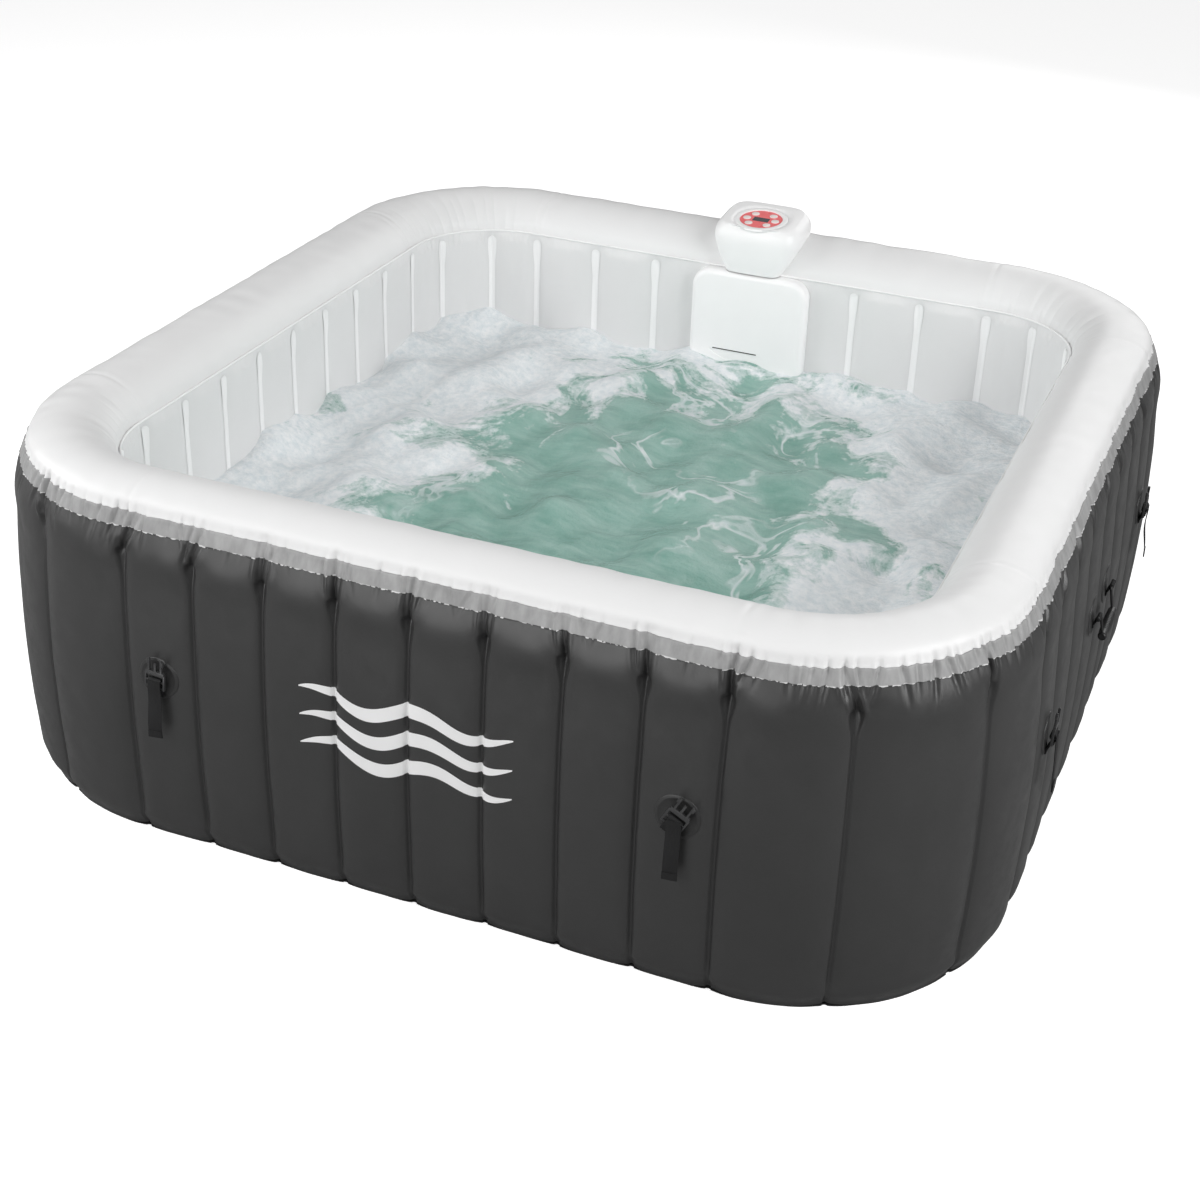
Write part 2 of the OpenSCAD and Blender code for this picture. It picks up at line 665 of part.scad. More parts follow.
module pump_impeller() color([0.85, 0.85, 0.85]) translate([0, suction_y, filter_at[1]]) {
    rod_x(0, 0, volute_bore - 3, pump_x[1] - 10, pump_x[1] - 7);
    rod_x(0, 0, 9, pump_x[0] + 7, pump_x[1] - 9);
    rod_x(0, 0, pump_shaft, pump_x[1] - 11, pump_x[2] - 8);
    for (a = [0:60:300]) rotate([a, 0, 0])
        box(pump_x[0] + 6, pump_x[1] - 9, -1.2, 1.2, 6, volute_bore - 4);
}

module air_blower() color([0.2, 0.2, 0.22]) translate([blower_at[0], 0, blower_at[1]]) difference() {
    union() {
        rod_y(0, 0, scroll_radius, blower_y[0], blower_y[1]);
        rod_y(0, 0, 34, blower_y[1] - 1, blower_y[2]);
        translate([0, blower_mid, 0]) cylinder(r = spigot_radius, h = 80);
        translate([bubble_feed[0] - blower_at[0], blower_mid, -60]) cylinder(r = 7, h = 68);
        rod_x(blower_mid, 0, side_tube, bubble_feed[0] - blower_at[0], -40);
    }
    rod_y(0, 0, scroll_bore, blower_y[0] + 5, blower_y[1] - 5);
    rod_y(0, 0, 22, blower_y[0] - 1, blower_y[0] + 8);
    rod_y(0, 0, blower_shaft + shaft_play, blower_y[1] - 6, blower_y[2] - 12);
    translate([0, blower_mid, 40]) cylinder(r = spigot_bore, h = 41);
    translate([bubble_feed[0] - blower_at[0], blower_mid, -61]) cylinder(r = side_bore, h = 61);
    rod_x(blower_mid, 0, side_bore, bubble_feed[0] - blower_at[0], -40);
}

module blower_impeller() color([0.8, 0.8, 0.82]) translate([blower_at[0], 0, blower_at[1]]) {
    rod_y(0, 0, scroll_bore - 5, blower_y[1] - 12, blower_y[1] - 9);
    rod_y(0, 0, 8, blower_y[0] + 14, blower_y[1] - 11);
    rod_y(0, 0, blower_shaft, blower_y[1] - 15, blower_y[2] - 14);
    for (a = [0:40:320]) rotate([0, a, 0])
        box(24, scroll_bore - 6, blower_y[0] + 10, blower_y[1] - 11, -0.8, 0.8);
}

module heater_tube() color([0.78, 0.78, 0.8]) translate([0, heater_at[0], heater_at[1]]) difference() {
    union() {
        rod_x(0, 0, heater_radius, -heater_half, heater_half);
        for (x = [heater_in, heater_out]) translate([x, 0, -44]) cylinder(r = spigot_radius, h = 34);
    }
    rod_x(0, 0, heater_radius - 3, 3 - heater_half, heater_half - 3);
    for (x = [heater_in, heater_out]) translate([x, 0, -45]) cylinder(r = spigot_bore, h = 30);
}

module filter_cartridge() color([0.93, 0.95, 0.97]) difference() {
    y0 = case_front_y + 9;
    y1 = case_front_y + cup_depth - 5;
    union() {
        rod_y(filter_at[0], filter_at[1], cup_bore - 4, y0, y0 + 9);
        rod_y(filter_at[0], filter_at[1], cup_bore - 8, y0 + 8, y1 - 8);
        rod_y(filter_at[0], filter_at[1], cup_bore - 4, y1 - 9, y1);
    }
    rod_y(filter_at[0], filter_at[1], 22, y0 - 1, y1 + 1);
}

module filter_cap() color(abs_white()) translate([filter_at[0], 0, filter_at[1]]) difference() {
    union() {
        rod_y(0, 0, cup_bore, panel_front_y - 3, panel_front_y + 1);
        rod_y(0, 0, 55.4, panel_front_y, case_front_y + 6);
        box(-40, 40, panel_front_y - 14, panel_front_y, -6, 6);
    }
    rod_y(0, 0, cup_bore - 4, panel_front_y + 1.5, case_front_y + 7);
    for (a = [22.5:22.5:337.5]) if (a != 180) rotate([0, -a, 0])
        box(22, 48, panel_front_y - 4, panel_front_y + 3, -1.6, 1.6);
}

// A hose along the points of a path, given as [start, end] straights that share r and the bore.
module hose(parts, r_out = hose_radius, r_in = hose_bore) difference() {
    for (p = parts) round_bar(p[0], p[1], r_out);
    for (p = parts) round_bar(p[0], p[1], r_in);
}

// A round bar from point a to point b.
module round_bar(a, b, r) {
    d = b - a;
    translate(a) rotate([0, acos(d[2] / norm(d)), atan2(d[1], d[0])]) cylinder(r = r, h = norm(d));
}

// A quarter elbow at the origin that joins a pipe ending towards -X to one that rises along +Z.
module elbow(r_bend, r_out, r_in = 0) translate([-r_bend, 0, r_bend]) rotate([90, 0, 0])
    rotate([0, 0, -90]) rotate_extrude(angle = 90) translate([r_bend, 0]) difference() {
        circle(r_out);
        if (r_in > 0) circle(r_in);
    }

module internal_hoses() color([0.3, 0.32, 0.35]) {
    r = 22;
    // Filter to pump
    hose([[[filter_at[0] + 27, suction_y, filter_at[1]], [pump_x[0] - 2, suction_y, filter_at[1]]]]);
    // Pump to heater
    hose([[[heater_in, pipe_y, filter_at[1] + 50], [heater_in, pipe_y, heater_at[1] - 26]]]);
    // Heater to the water outlet
    translate([heater_out, pipe_y, outlet_at[1]]) mirror([1, 0, 0]) elbow(r, hose_radius, hose_bore);
    hose([[[heater_out, pipe_y, outlet_at[1] + r], [heater_out, pipe_y, heater_at[1] - 26]]]);
    hose([[[heater_out + r, pipe_y, outlet_at[1]], [outlet_at[0] - r, pipe_y, outlet_at[1]]]]);
    translate([outlet_at[0], pipe_y, outlet_at[1]]) rotate([90, 0, 0]) elbow(r, hose_radius, hose_bore);
    hose([[[outlet_at[0], pipe_y - r, outlet_at[1]], [outlet_at[0], case_front_y + 4, outlet_at[1]]]]);
    // Blower to the bubble channel
    feed_x = bubble_feed[0];
    feed_z = bubble_feed[1];
    translate([feed_x, blower_mid, feed_z]) rotate([0, 0, 90]) elbow(r, feed_hose, feed_bore);
    hose([[[feed_x, blower_mid, feed_z + r], [feed_x, blower_mid, blower_at[1] - 40]]], feed_hose, feed_bore);
    hose([[[feed_x, inner_half - 1, feed_z], [feed_x, blower_mid - r, feed_z]]], feed_hose, feed_bore);
    // Blower to the inflation outlet
    hose([[[port_at[0], blower_mid, blower_at[1] + 58], [port_at[0], blower_mid, port_at[1] - r]]]);
    translate([port_at[0], blower_mid, port_at[1]]) rotate([0, 180, 90]) elbow(r, hose_radius, hose_bore);
    hose([[[port_at[0], blower_mid + r, port_at[1]], [port_at[0], case_back_y + 4, port_at[1]]]]);
}

// --- Power cord and plug ---

cord_y = cover_back_y + 34;      // the cord drops and runs along the ground at this distance
cord_end_x = 560;
test_at_x = cord_end_x + 60;     // test button on the plug, and its diameter
test_d = 12;

module power_cord() color(black_plastic()) {
    r = cord_radius;
    bend = 24;
    round_bar([gland_at[0], case_back_y + 10, gland_at[1]], [gland_at[0], cord_y - bend, gland_at[1]], r);
    translate([gland_at[0], cord_y, gland_at[1]]) rotate([0, 180, -90]) elbow(bend, r);
    round_bar([gland_at[0], cord_y, r + bend], [gland_at[0], cord_y, gland_at[1] - bend], r);
    translate([gland_at[0], cord_y, r]) mirror([1, 0, 0]) elbow(bend, r);
    round_bar([gland_at[0] + bend, cord_y, r], [cord_end_x, cord_y, r], r);
}

module power_plug() color(black_plastic()) difference() {
    union() {
        plate_xz(cord_end_x + 0.2, cord_end_x + 112, 1, 45, 10, cord_y - 17, cord_y + 17);
        for (dy = [-6.4, 6.4])
            box(cord_end_x + 111, cord_end_x + 130, cord_y + dy - 0.8, cord_y + dy + 0.8, 22, 28);
        rod_x(cord_y, 15, 2.4, cord_end_x + 111, cord_end_x + 132);
    }
    rod_x(cord_y, cord_radius, cord_radius + gap, cord_end_x - 1, cord_end_x + 1);
    translate([test_at_x, cord_y, 38]) cylinder(d = test_d + 2 * gap, h = 8);
}

module plug_test_button() color([0.75, 0.2, 0.15]) translate([test_at_x, cord_y, 40])
    cylinder(d = test_d, h = 7);

// --- Output ---

outer_wall();
top_rim();
rim_seam_tape();
inner_wall();
floor_liner();
base_sheet();
wall_webs();
bubble_channel();
unit_sleeve();
wall_patches();
handle(3);  // handle_left
handle(1);  // handle_right
buckle(0);  // buckle_1
buckle(1);  // buckle_2
buckle(2);  // buckle_3
buckle(3);  // buckle_4
buckle(4);  // buckle_5
buckle(5);  // buckle_6
buckle(6);  // buckle_7
buckle(7);  // buckle_8
strap(0);  // strap_1
strap(1);  // strap_2
strap(2);  // strap_3
strap(3);  // strap_4
strap(4);  // strap_5
strap(5);  // strap_6
strap(6);  // strap_7
strap(7);  // strap_8
air_valve_body();
air_valve_cap();
drain_fitting();
drain_cap();
drain_plug();
unit_case();
inner_panel();
rear_cover();
cover_screws();
head_cover();
head_base();
panel_bezel();
panel_overlay();
display_window();
button(0);  // button_heat
button(1);  // button_filter
button(2);  // button_bubbles
button(3);  // button_up
button(4);  // button_down
button(5);  // button_timer
control_board();
circulation_pump();
pump_impeller();
air_blower();
blower_impeller();
heater_tube();
filter_cartridge();
filter_cap();
internal_hoses();
power_cord();
power_plug();
plug_test_button();
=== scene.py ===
"""Blender look of the square inflatable hot tub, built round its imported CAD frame.

All sizes are in metres. The tub's belt is unrolled to one running length: it starts at the left end of the
front wall's straight part and goes round counter-clockwise, seen from above. A point on the tub is a place
on the belt, a distance rho out from the corner centres, and a height z.
"""
import json
import math

import bmesh
import bpy
import numpy as np
from mathutils import Matrix, Vector


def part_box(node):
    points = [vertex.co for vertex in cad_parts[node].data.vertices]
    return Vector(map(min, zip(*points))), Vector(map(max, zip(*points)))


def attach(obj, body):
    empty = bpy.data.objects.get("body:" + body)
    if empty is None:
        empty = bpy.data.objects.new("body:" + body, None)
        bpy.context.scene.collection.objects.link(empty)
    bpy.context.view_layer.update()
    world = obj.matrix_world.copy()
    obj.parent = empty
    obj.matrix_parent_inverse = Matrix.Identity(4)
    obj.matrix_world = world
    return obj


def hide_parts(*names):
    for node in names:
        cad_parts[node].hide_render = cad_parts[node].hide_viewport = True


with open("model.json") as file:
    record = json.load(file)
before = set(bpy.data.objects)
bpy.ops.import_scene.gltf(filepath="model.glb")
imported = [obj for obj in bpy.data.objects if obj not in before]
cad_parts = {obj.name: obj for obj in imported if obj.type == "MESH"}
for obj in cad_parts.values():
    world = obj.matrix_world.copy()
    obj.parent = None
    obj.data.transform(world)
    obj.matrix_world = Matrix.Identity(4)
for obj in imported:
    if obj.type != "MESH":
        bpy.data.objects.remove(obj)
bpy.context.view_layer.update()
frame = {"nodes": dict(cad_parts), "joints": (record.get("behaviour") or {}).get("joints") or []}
NODES = frame["nodes"]
JOINTS = {joint["name"]: joint for joint in frame["joints"]}
rng = np.random.default_rng(11)

# --- Sizes that follow from the frame ---

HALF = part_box("outer_wall")[1].x
RIM_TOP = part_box("top_rim")[1].z
WALL_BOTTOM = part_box("outer_wall")[0].z
WALL_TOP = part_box("outer_wall")[1].z
POOL_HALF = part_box("floor_liner")[1].x + 0.0003
UNIT_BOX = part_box("rear_cover")
PANEL_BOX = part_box("inner_panel")

OUTER_R = 0.390  # corner radius of the outer wall
WALL_DEPTH = HALF - POOL_HALF
INNER_R = OUTER_R - WALL_DEPTH
CORNER = HALF - OUTER_R  # corner centres stand at +-CORNER
STRAIGHT = 2 * CORNER
PERIOD = STRAIGHT + OUTER_R * math.pi / 2
BELT = 4 * PERIOD

BELLY_Z = 0.230  # height where the wall is widest
BELLY_R = 2.790  # barrel curve of the wall, seen from the side
RIM_R = 0.096
RIM_RHO = 0.286
RIM_Z = RIM_TOP - RIM_R
INNER_SEAM_Z = 0.585

WEB_PITCH = 0.130  # distance between the weld lines of a straight wall
CORNER_WEB_ANGLES = (math.radians(27), math.radians(63))
BACK_WEBS = (0.230, 0.375, 0.520)  # weld lines to each side of the control unit
WELD_TOP = 0.545  # the outer wall's weld lines end here, below the seam
FOOT_TOP = 0.045  # the wall's foot curls in below this height
WATER_Z = 0.366
SEAM_TUCK = 0.0125  # how far the seam pulls the wall in
BAND_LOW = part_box("rim_seam_tape")[0].z + 0.003
BAND_LAP = 0.0032  # the seam band laps this far up onto the rim


def weld_places():
    """Places of the weld lines along the belt, in order."""
    places = []
    for side in range(4):
        across = [i * WEB_PITCH for i in range(-4, 5)]
        if side == 2:
            across = [s * x for x in BACK_WEBS for s in (-1, 1)]
        places += [side * PERIOD + CORNER + x for x in across]
        places += [side * PERIOD + STRAIGHT + OUTER_R * a for a in CORNER_WEB_ANGLES]
    return np.sort(np.array(places))


WELDS = weld_places()


def port_place(name):
    """Place along the belt and height of a fitting welded into the back wall."""
    low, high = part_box(name)
    return 2 * PERIOD + CORNER - (low.x + high.x) / 2, (low.z + high.z) / 2


DRAIN = port_place("drain_fitting")
VALVE = port_place("air_valve_body")
PORT_CUT = 0.0185  # radius of a fitting's opening, hidden behind its flange
PORT_FLAT = (0.030, 0.062)  # the skin is flat within the first radius and free beyond the second


# --- Numbers ---

def smooth(x, low=0.0, high=1.0):
    """0 below low, 1 above high, and a smooth step between them."""
    t = np.clip((x - low) / (high - low), 0.0, 1.0)
    return t * t * (3 - 2 * t)


def bell(x, width):
    return np.exp(-((x / width) ** 2))


def full_turn(count):
    """Angles spread evenly over one full turn."""
    return np.linspace(0, 2 * math.pi, count, endpoint=False)


def rows(start, *runs):
    """Values from start on, through runs given as (end value, number of steps)."""
    parts = [[start]]
    for end, steps in runs:
        parts.append(np.linspace(parts[-1][-1], end, steps + 1)[1:])
    return np.concatenate(parts)


def wrap(distance):
    """Shortest signed distance along the belt."""
    return (distance + BELT / 2) % BELT - BELT / 2


def waves(s, z, size, seed, terms=7):
    """Smooth random relief that closes on itself round the belt. Its value is about -1 to 1."""
    local = np.random.default_rng(seed)
    total = np.zeros(np.broadcast(s, z).shape)
    for _ in range(terms):
        turns = max(1, round(BELT / size * local.uniform(0.6, 1.6)))
        tall = local.uniform(-1, 1) * 2 * math.pi / size
        total += np.sin(2 * math.pi * turns * s / BELT + tall * z + local.uniform(0, 6.3))
    return total / math.sqrt(terms) * 0.8


def panel_place(s):
    """Fraction across its panel (0 at one weld, 1 at the next) and distance to the nearest weld."""
    s = np.asarray(s) % BELT
    edges = np.concatenate([[WELDS[-1] - BELT], WELDS, [WELDS[0] + BELT]])
    right = np.clip(np.searchsorted(edges, s, side="right"), 1, len(edges) - 1)
    left_edge = edges[right - 1]
    right_edge = edges[right]
    fraction = (s - left_edge) / (right_edge - left_edge)
    return fraction, np.minimum(s - left_edge, right_edge - s)


def belt_points(s):
    """Start point (on the corner-centre square) and outward normal of each place on the belt."""
    s = np.asarray(s, float) % BELT
    side = np.floor(s / PERIOD).astype(int) % 4
    along = s - side * PERIOD
    angle = np.clip((along - STRAIGHT) / OUTER_R, 0, math.pi / 2)
    x = -CORNER + np.minimum(along, STRAIGHT)
    y = np.full_like(x, -CORNER)
    nx = np.sin(angle)
    ny = -np.cos(angle)
    turn = side * math.pi / 2
    c = np.cos(turn)
    d = np.sin(turn)
    start = np.stack([c * x - d * y, d * x + c * y], -1)
    normal = np.stack([c * nx - d * ny, d * nx + c * ny], -1)
    return start, normal


def place(s, rho, z):
    """3-D points for places on the belt."""
    start, normal = belt_points(s)
    xy = start + normal * np.asarray(rho)[..., None]
    z = np.broadcast_to(z, xy.shape[:-1])
    return np.concatenate([xy, z[..., None]], -1)


FINE_REACH = 0.022  # how far the fine columns reach from a weld line


def columns(step, fine=None):
    """Places round the belt: one on each weld line, at most step apart, and fine apart beside the welds."""
    edges = np.concatenate([WELDS, [WELDS[0] + BELT]])
    parts = []
    for low, high in zip(edges[:-1], edges[1:]):
        stops = [low, high] if fine is None else [low, low + FINE_REACH, high - FINE_REACH, high]
        for a, b, most in zip(stops[:-1], stops[1:], [fine or step, step, fine or step]):
            count = math.ceil((b - a) / most)
            parts.append(a + (b - a) * np.arange(count) / count)
    return np.concatenate(parts)


# --- Folds at the outer seam ---

def seam_folds():
    """Folds that run down from the seam, as (place, depth, half-width, length, lean, from_weld)."""
    folds = []
    for weld in WELDS:
        middle = np.clip((weld % PERIOD) / CORNER - 1, -1, 1)
        lean = 0.26 * middle + rng.uniform(-0.20, 0.20)
        at = weld - lean * 0.055
        folds.append((at, rng.uniform(0.0070, 0.0105), 0.0048, 0.078, lean, True))
        for side in (-1, 1):
            spread = side * rng.uniform(0.008, 0.020)
            folds.append((at + spread, rng.uniform(0.0025, 0.0060), 0.0034, 0.070, lean - spread * 7, True))
    s = 0.0
    while s < BELT:
        in_corner = (s % PERIOD) > STRAIGHT - 0.08
        s += rng.uniform(0.016, 0.040) if in_corner else rng.uniform(0.020, 0.056)
        deep = rng.uniform(0.0030, 0.0078) if in_corner else rng.uniform(0.0010, 0.0046)
        reach = 0.022 + 5.5 * deep + rng.uniform(-0.004, 0.012)
        folds.append((s, deep, 0.0018 + 0.28 * deep, reach, rng.uniform(-0.45, 0.45), False))
    return folds


FOLDS = seam_folds()
FOLD_DROP = 0.085  # no fold reaches further down from the seam, nor further sideways than
FOLD_SPREAD = 0.05  # this from its place


def fold_relief(s, z):
    """How far the seam's folds pull the skin in, in metres."""
    s, z = np.broadcast_arrays(s, z)
    total = np.zeros(s.shape)
    near = np.flatnonzero(WALL_TOP - z.ravel() < FOLD_DROP)
    s_near = s.ravel()[near]
    down = np.abs(WALL_TOP - z.ravel()[near])
    sums = np.zeros(len(near))
    for at, deep, half_width, length, lean, from_weld in FOLDS:
        x = wrap(s_near - at)
        hit = np.abs(x) < FOLD_SPREAD
        d = down[hit]
        x = x[hit] - lean * d
        fade = np.clip(1 - d / length, 0, 1)
        fade = smooth(fade, 0, 0.35) * (0.5 + 0.5 * smooth(d, 0, 0.04)) if from_weld else fade**1.1
        crease = np.exp(-np.abs(x) / half_width)
        pleat = math.copysign(2.2 * half_width, math.sin(1e4 * at))  # falls to either side, as if by chance
        shoulders = 0.50 * bell(x - pleat, 1.2 * half_width) + 0.22 * bell(x + pleat, 1.4 * half_width)
        sums[hit] += deep * fade * (crease - shoulders)
    total.ravel()[near] = sums
    return total


def wall_inset(s, z):
    """How far the inflated outer wall lies inside its smooth barrel form."""
    fraction, distance = panel_place(s)
    across = np.abs(2 * fraction - 1)
    weld = 1 - 0.75 * smooth(z, WELD_TOP - 0.005, WELD_TOP + 0.030)
    weld = weld * (0.35 + 0.65 * smooth(z, 0.0, 0.075))
    inset = (0.0078 * across**6 + 0.0034 * across**2.2) * weld
    pit = bell(np.minimum(z - WELD_TOP + 0.006, 0), 0.024)
    strip = 0.0044 + 0.0064 * pit
    strip_on = 1 - smooth(z, WELD_TOP - 0.001, WELD_TOP + 0.005)
    inset = inset + (0.0020 + 0.0042 * pit) * (1 - smooth(distance / strip, 0.70, 1.20)) * strip_on
    puff = bell(z - 0.548, 0.036) * (1 - across**3) * 0.0050
    roll = SEAM_TUCK * np.clip((z - 0.528) / (WALL_TOP - 0.528), 0, 1) ** 2
    foot = 0.013 * (1 - smooth(z, 0.0, FOOT_TOP)) ** 1.5
    drift = 0.0009 * waves(s, z, 0.30, 3) + 0.0004 * waves(s, z, 0.09, 4)
    return inset - puff + roll + foot + drift + fold_relief(s, z)


def port_reach(s, z, port):
    """Distance along the skin from a fitting's centre."""
    return np.hypot(wrap(s - port[0]), z - port[1])


def wall_rho(s, z):
    """Distance of the outer wall's skin from the corner centres. It rises to meet the fittings' flanges."""
    rho = OUTER_R - BELLY_R + np.sqrt(BELLY_R**2 - (z - BELLY_Z) ** 2) - wall_inset(s, z)
    for port in (DRAIN, VALVE):
        rho = rho + (OUTER_R + 0.0006 - rho) * (1 - smooth(port_reach(s, z, port), *PORT_FLAT))
    return rho


SKIN_COLUMNS = columns(0.0034, 0.0018)
POOL_COLUMNS = columns(0.0075)


# --- Mesh helpers ---

def grid_quads(points, wrap_u=False, wrap_v=False):
    """Vertex numbers of the quads of a grid of points, shape (columns, rows, 4)."""
    n, m = points.shape[:2]
    i, j = np.meshgrid(np.arange(n if wrap_u else n - 1), np.arange(m if wrap_v else m - 1), indexing="ij")
    i2 = (i + 1) % n
    j2 = (j + 1) % m
    return np.stack([i * m + j, i2 * m + j, i2 * m + j2, i * m + j2], -1)


def grid_mesh(name, points, wrap_u=False, wrap_v=False, keep=None):
    """A mesh from a grid of points, shape (columns, rows, 3). keep masks its faces, (columns, rows)."""
    quads = grid_quads(points, wrap_u, wrap_v)
    if keep is not None:
        quads = quads[keep[: quads.shape[0], : quads.shape[1]]]
    used, quads = np.unique(quads, return_inverse=True)
    return make_object(name, points.reshape(-1, 3)[used], quads.reshape(-1, 4))


def sheets_mesh(name, sheets):
    """One mesh from separate open grids of points."""
    verts = []
    faces = []
    for points in sheets:
        faces += (len(verts) + grid_quads(points)).reshape(-1, 4).tolist()
        verts += points.reshape(-1, 3).tolist()
    return make_object(name, verts, faces)


def opening(points, port):
    """Mask of a grid's faces that lie in a fitting's opening in the back wall."""
    middle = (points + np.roll(points, (-1, -1), (0, 1))) / 2
    place_x = 2 * PERIOD + CORNER - port[0]
    near = np.hypot(middle[..., 0] - place_x, middle[..., 2] - port[1]) < PORT_CUT
    return near & (middle[..., 1] > CORNER)


def make_object(name, verts, faces):
    mesh = bpy.data.meshes.new(name)
    mesh.from_pydata(np.asarray(verts, float).tolist(), [], [list(map(int, f)) for f in faces])
    mesh.update()
    mesh.polygons.foreach_set("use_smooth", np.ones(len(mesh.polygons), bool))
    piece = bpy.data.objects.new(name, mesh)
    bpy.context.scene.collection.objects.link(piece)
    return piece


def finish_piece(piece, material, replaces=None, body="tub"):
    """Gives a piece its material and body, and takes the place of a CAD node."""
    piece.data.materials.clear()
    piece.data.materials.append(material)
    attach(piece, body)
    if replaces:
        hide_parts(replaces)


# --- Materials ---

class Nodes:
    """A short way to wire a material's nodes."""

    def __init__(self, name):
        self.material = bpy.data.materials.new(name)
        self.material.use_nodes = True
        self.tree = self.material.node_tree
        self.shader = self.tree.nodes["Principled BSDF"]
        self.world = self.tree.nodes.new("ShaderNodeTexCoord").outputs["Object"]

    def node(self, kind, inputs=None, **settings):
        made = self.tree.nodes.new("ShaderNode" + kind)
        for key, value in settings.items():
            setattr(made, key, value)
        for key, value in (inputs or {}).items():
            self.put(made.inputs[key], value)
        return made

    def put(self, socket, value):
        if isinstance(value, bpy.types.NodeSocket):
            self.tree.links.new(value, socket)
        else:
            socket.default_value = value

    def set(self, **inputs):
        for key, value in inputs.items():
            self.put(self.shader.inputs[key.replace("_", " ")], value)

    def scaled(self, x, y, z):
        return self.node("Mapping", {"Vector": self.world, "Scale": (x, y, z)}).outputs[0]

    def noise(self, scale, detail=3.0, rough=0.55, at=None):
        at = self.world if at is None else at
        inputs = {"Vector": at, "Scale": scale, "Detail": detail, "Roughness": rough}
        return self.node("TexNoise", inputs).outputs[0]

    def bands(self, scale, distortion, direction):
        """Woven ribs that run in one direction."""
        return self.node("TexWave", {"Vector": self.world, "Scale": scale, "Distortion": distortion},
                         wave_type="BANDS", bands_direction=direction).outputs[1]

    def between(self, value, low, high, out_low=0.0, out_high=1.0):
        return self.node("MapRange", {"Value": value, "From Min": low, "From Max": high,
                                      "To Min": out_low, "To Max": out_high}).outputs[0]

    def mix(self, factor, a, b):
        made = self.node("Mix", data_type="RGBA")
        self.put(made.inputs[0], factor)
        self.put(made.inputs[6], a)
        self.put(made.inputs[7], b)
        return made.outputs[2]

    def math(self, operation, a, b=0.0):
        made = self.node("Math", operation=operation)
        self.put(made.inputs[0], a)
        self.put(made.inputs[1], b)
        return made.outputs[0]

    def blend(self, a, b, share):
        """Sum of two values, the first with its share and the second with the rest."""
        return self.math("ADD", self.math("MULTIPLY", a, share), self.math("MULTIPLY", b, 1 - share))

    def bump(self, height, strength, distance):
        return self.node("Bump", {"Height": height, "Strength": strength, "Distance": distance}).outputs[0]


def grey(v):
    return (v, v, v, 1.0)


def shade(colour, factor):
    """A colour made darker or lighter."""
    return tuple(min(1.0, c * factor) for c in colour) + (1.0,)


def pvc_material(name, tone, contrast=0.06, rough=0.42, grain=0.0, shine=0.4):
    """Calendered PVC sheet: soft tone drift, fine leather-like grain and slightly uneven gloss."""
    n = Nodes(name)
    value = n.between(n.blend(n.noise(6.0, 4.0), n.noise(130.0, at=n.scaled(1, 1, 7)), 0.6), 0.3, 0.7)
    n.set(Base_Color=n.mix(value, grey(tone * (1 - contrast)), grey(tone * (1 + contrast))))
    n.set(Roughness=n.between(n.noise(35.0), 0.3, 0.7, rough - 0.05, rough + 0.07))
    n.set(Specular_IOR_Level=shine)
    n.set(Normal=n.bump(n.noise(420.0, 2.0, at=n.scaled(1, 1, 3.5)), 0.12 + grain, 0.0006))
    return n.material


def moulded_material(name, colour, rough=0.35, bump=0.06, texture=900.0, drift=0.05):
    """Injection-moulded plastic: faint pebble texture and a little unevenness in gloss."""
    n = Nodes(name)
    tone = n.between(n.noise(18.0), 0.3, 0.7)
    n.set(Base_Color=n.mix(tone, shade(colour, 1 - drift), shade(colour, 1 + drift)))
    n.set(Roughness=n.between(n.noise(60.0), 0.3, 0.7, rough - 0.05, rough + 0.06))
    n.set(Normal=n.bump(n.noise(texture, 2.0), bump, 0.0005))
    return n.material


def streaked_material(name, dark, light):
    """Welded tape in fine upright streaks, with a broken cut along its lower edge: light dashes, and dark
    dashes of painted shadow under the lifted edge.
    """
    n = Nodes(name)
    streaks = n.noise(60.0, 3.0, 0.6, n.scaled(1, 1, 0.12))
    value = n.blend(streaks, n.noise(9.0, 2.0), 0.6)
    tape = n.mix(n.between(value, 0.34, 0.66), grey(dark), grey(light))
    height = n.node("SeparateXYZ", {"Vector": n.world}).outputs[2]
    edge = n.between(height, BAND_LOW + 0.0008, BAND_LOW + 0.0018, 1.0, 0.0)
    dashes = n.noise(140.0, 1.0, at=n.scaled(1, 1, 0.01))
    # painted shadow: the dark dashes stand for small shadows under the lifted cut edge; the light dashes are
    # the cut edge itself
    cut_edge_and_painted_shadow = n.mix(n.between(dashes, 0.47, 0.53), grey(0.04), grey(0.70))
    n.set(Base_Color=n.mix(edge, tape, cut_edge_and_painted_shadow), Roughness=0.42)
    n.set(Normal=n.bump(streaks, 0.12, 0.0010))
    return n.material


def webbing_material(name, colour):
    """Woven strap: diagonal ribs crossed by a fine weft."""
    n = Nodes(name)
    height = n.blend(n.bands(190.0, 0.4, "DIAGONAL"), n.bands(260.0, 0.3, "Z"), 0.6)
    n.set(Base_Color=n.mix(height, shade(colour, 0.6), shade(colour, 1.5)), Roughness=0.7,
          Specular_IOR_Level=0.35, Normal=n.bump(height, 0.6, 0.0006))
    return n.material


charcoal_pvc = pvc_material("charcoal_pvc", 0.032, contrast=0.12, rough=0.36, grain=0.08, shine=0.72)
rim_pvc = pvc_material("white_rim_pvc", 0.81, contrast=0.012, rough=0.38)
liner_pvc = pvc_material("grey_liner_pvc", 0.77, contrast=0.015, rough=0.42)
weld_pvc = pvc_material("white_weld_pvc", 0.93, contrast=0.01, rough=0.35)
band_pvc = streaked_material("seam_band_pvc", 0.26, 0.38)
base_pvc = pvc_material("base_pvc", 0.035, contrast=0.15, rough=0.6, grain=0.10)
patch_pvc = pvc_material("patch_pvc", 0.026, contrast=0.12, rough=0.36, grain=0.04, shine=0.6)
decal_ink = pvc_material("decal_ink", 0.90, contrast=0.01, rough=0.45)
white_plastic = moulded_material("white_plastic", (0.94, 0.94, 0.94), 0.34, drift=0.006)
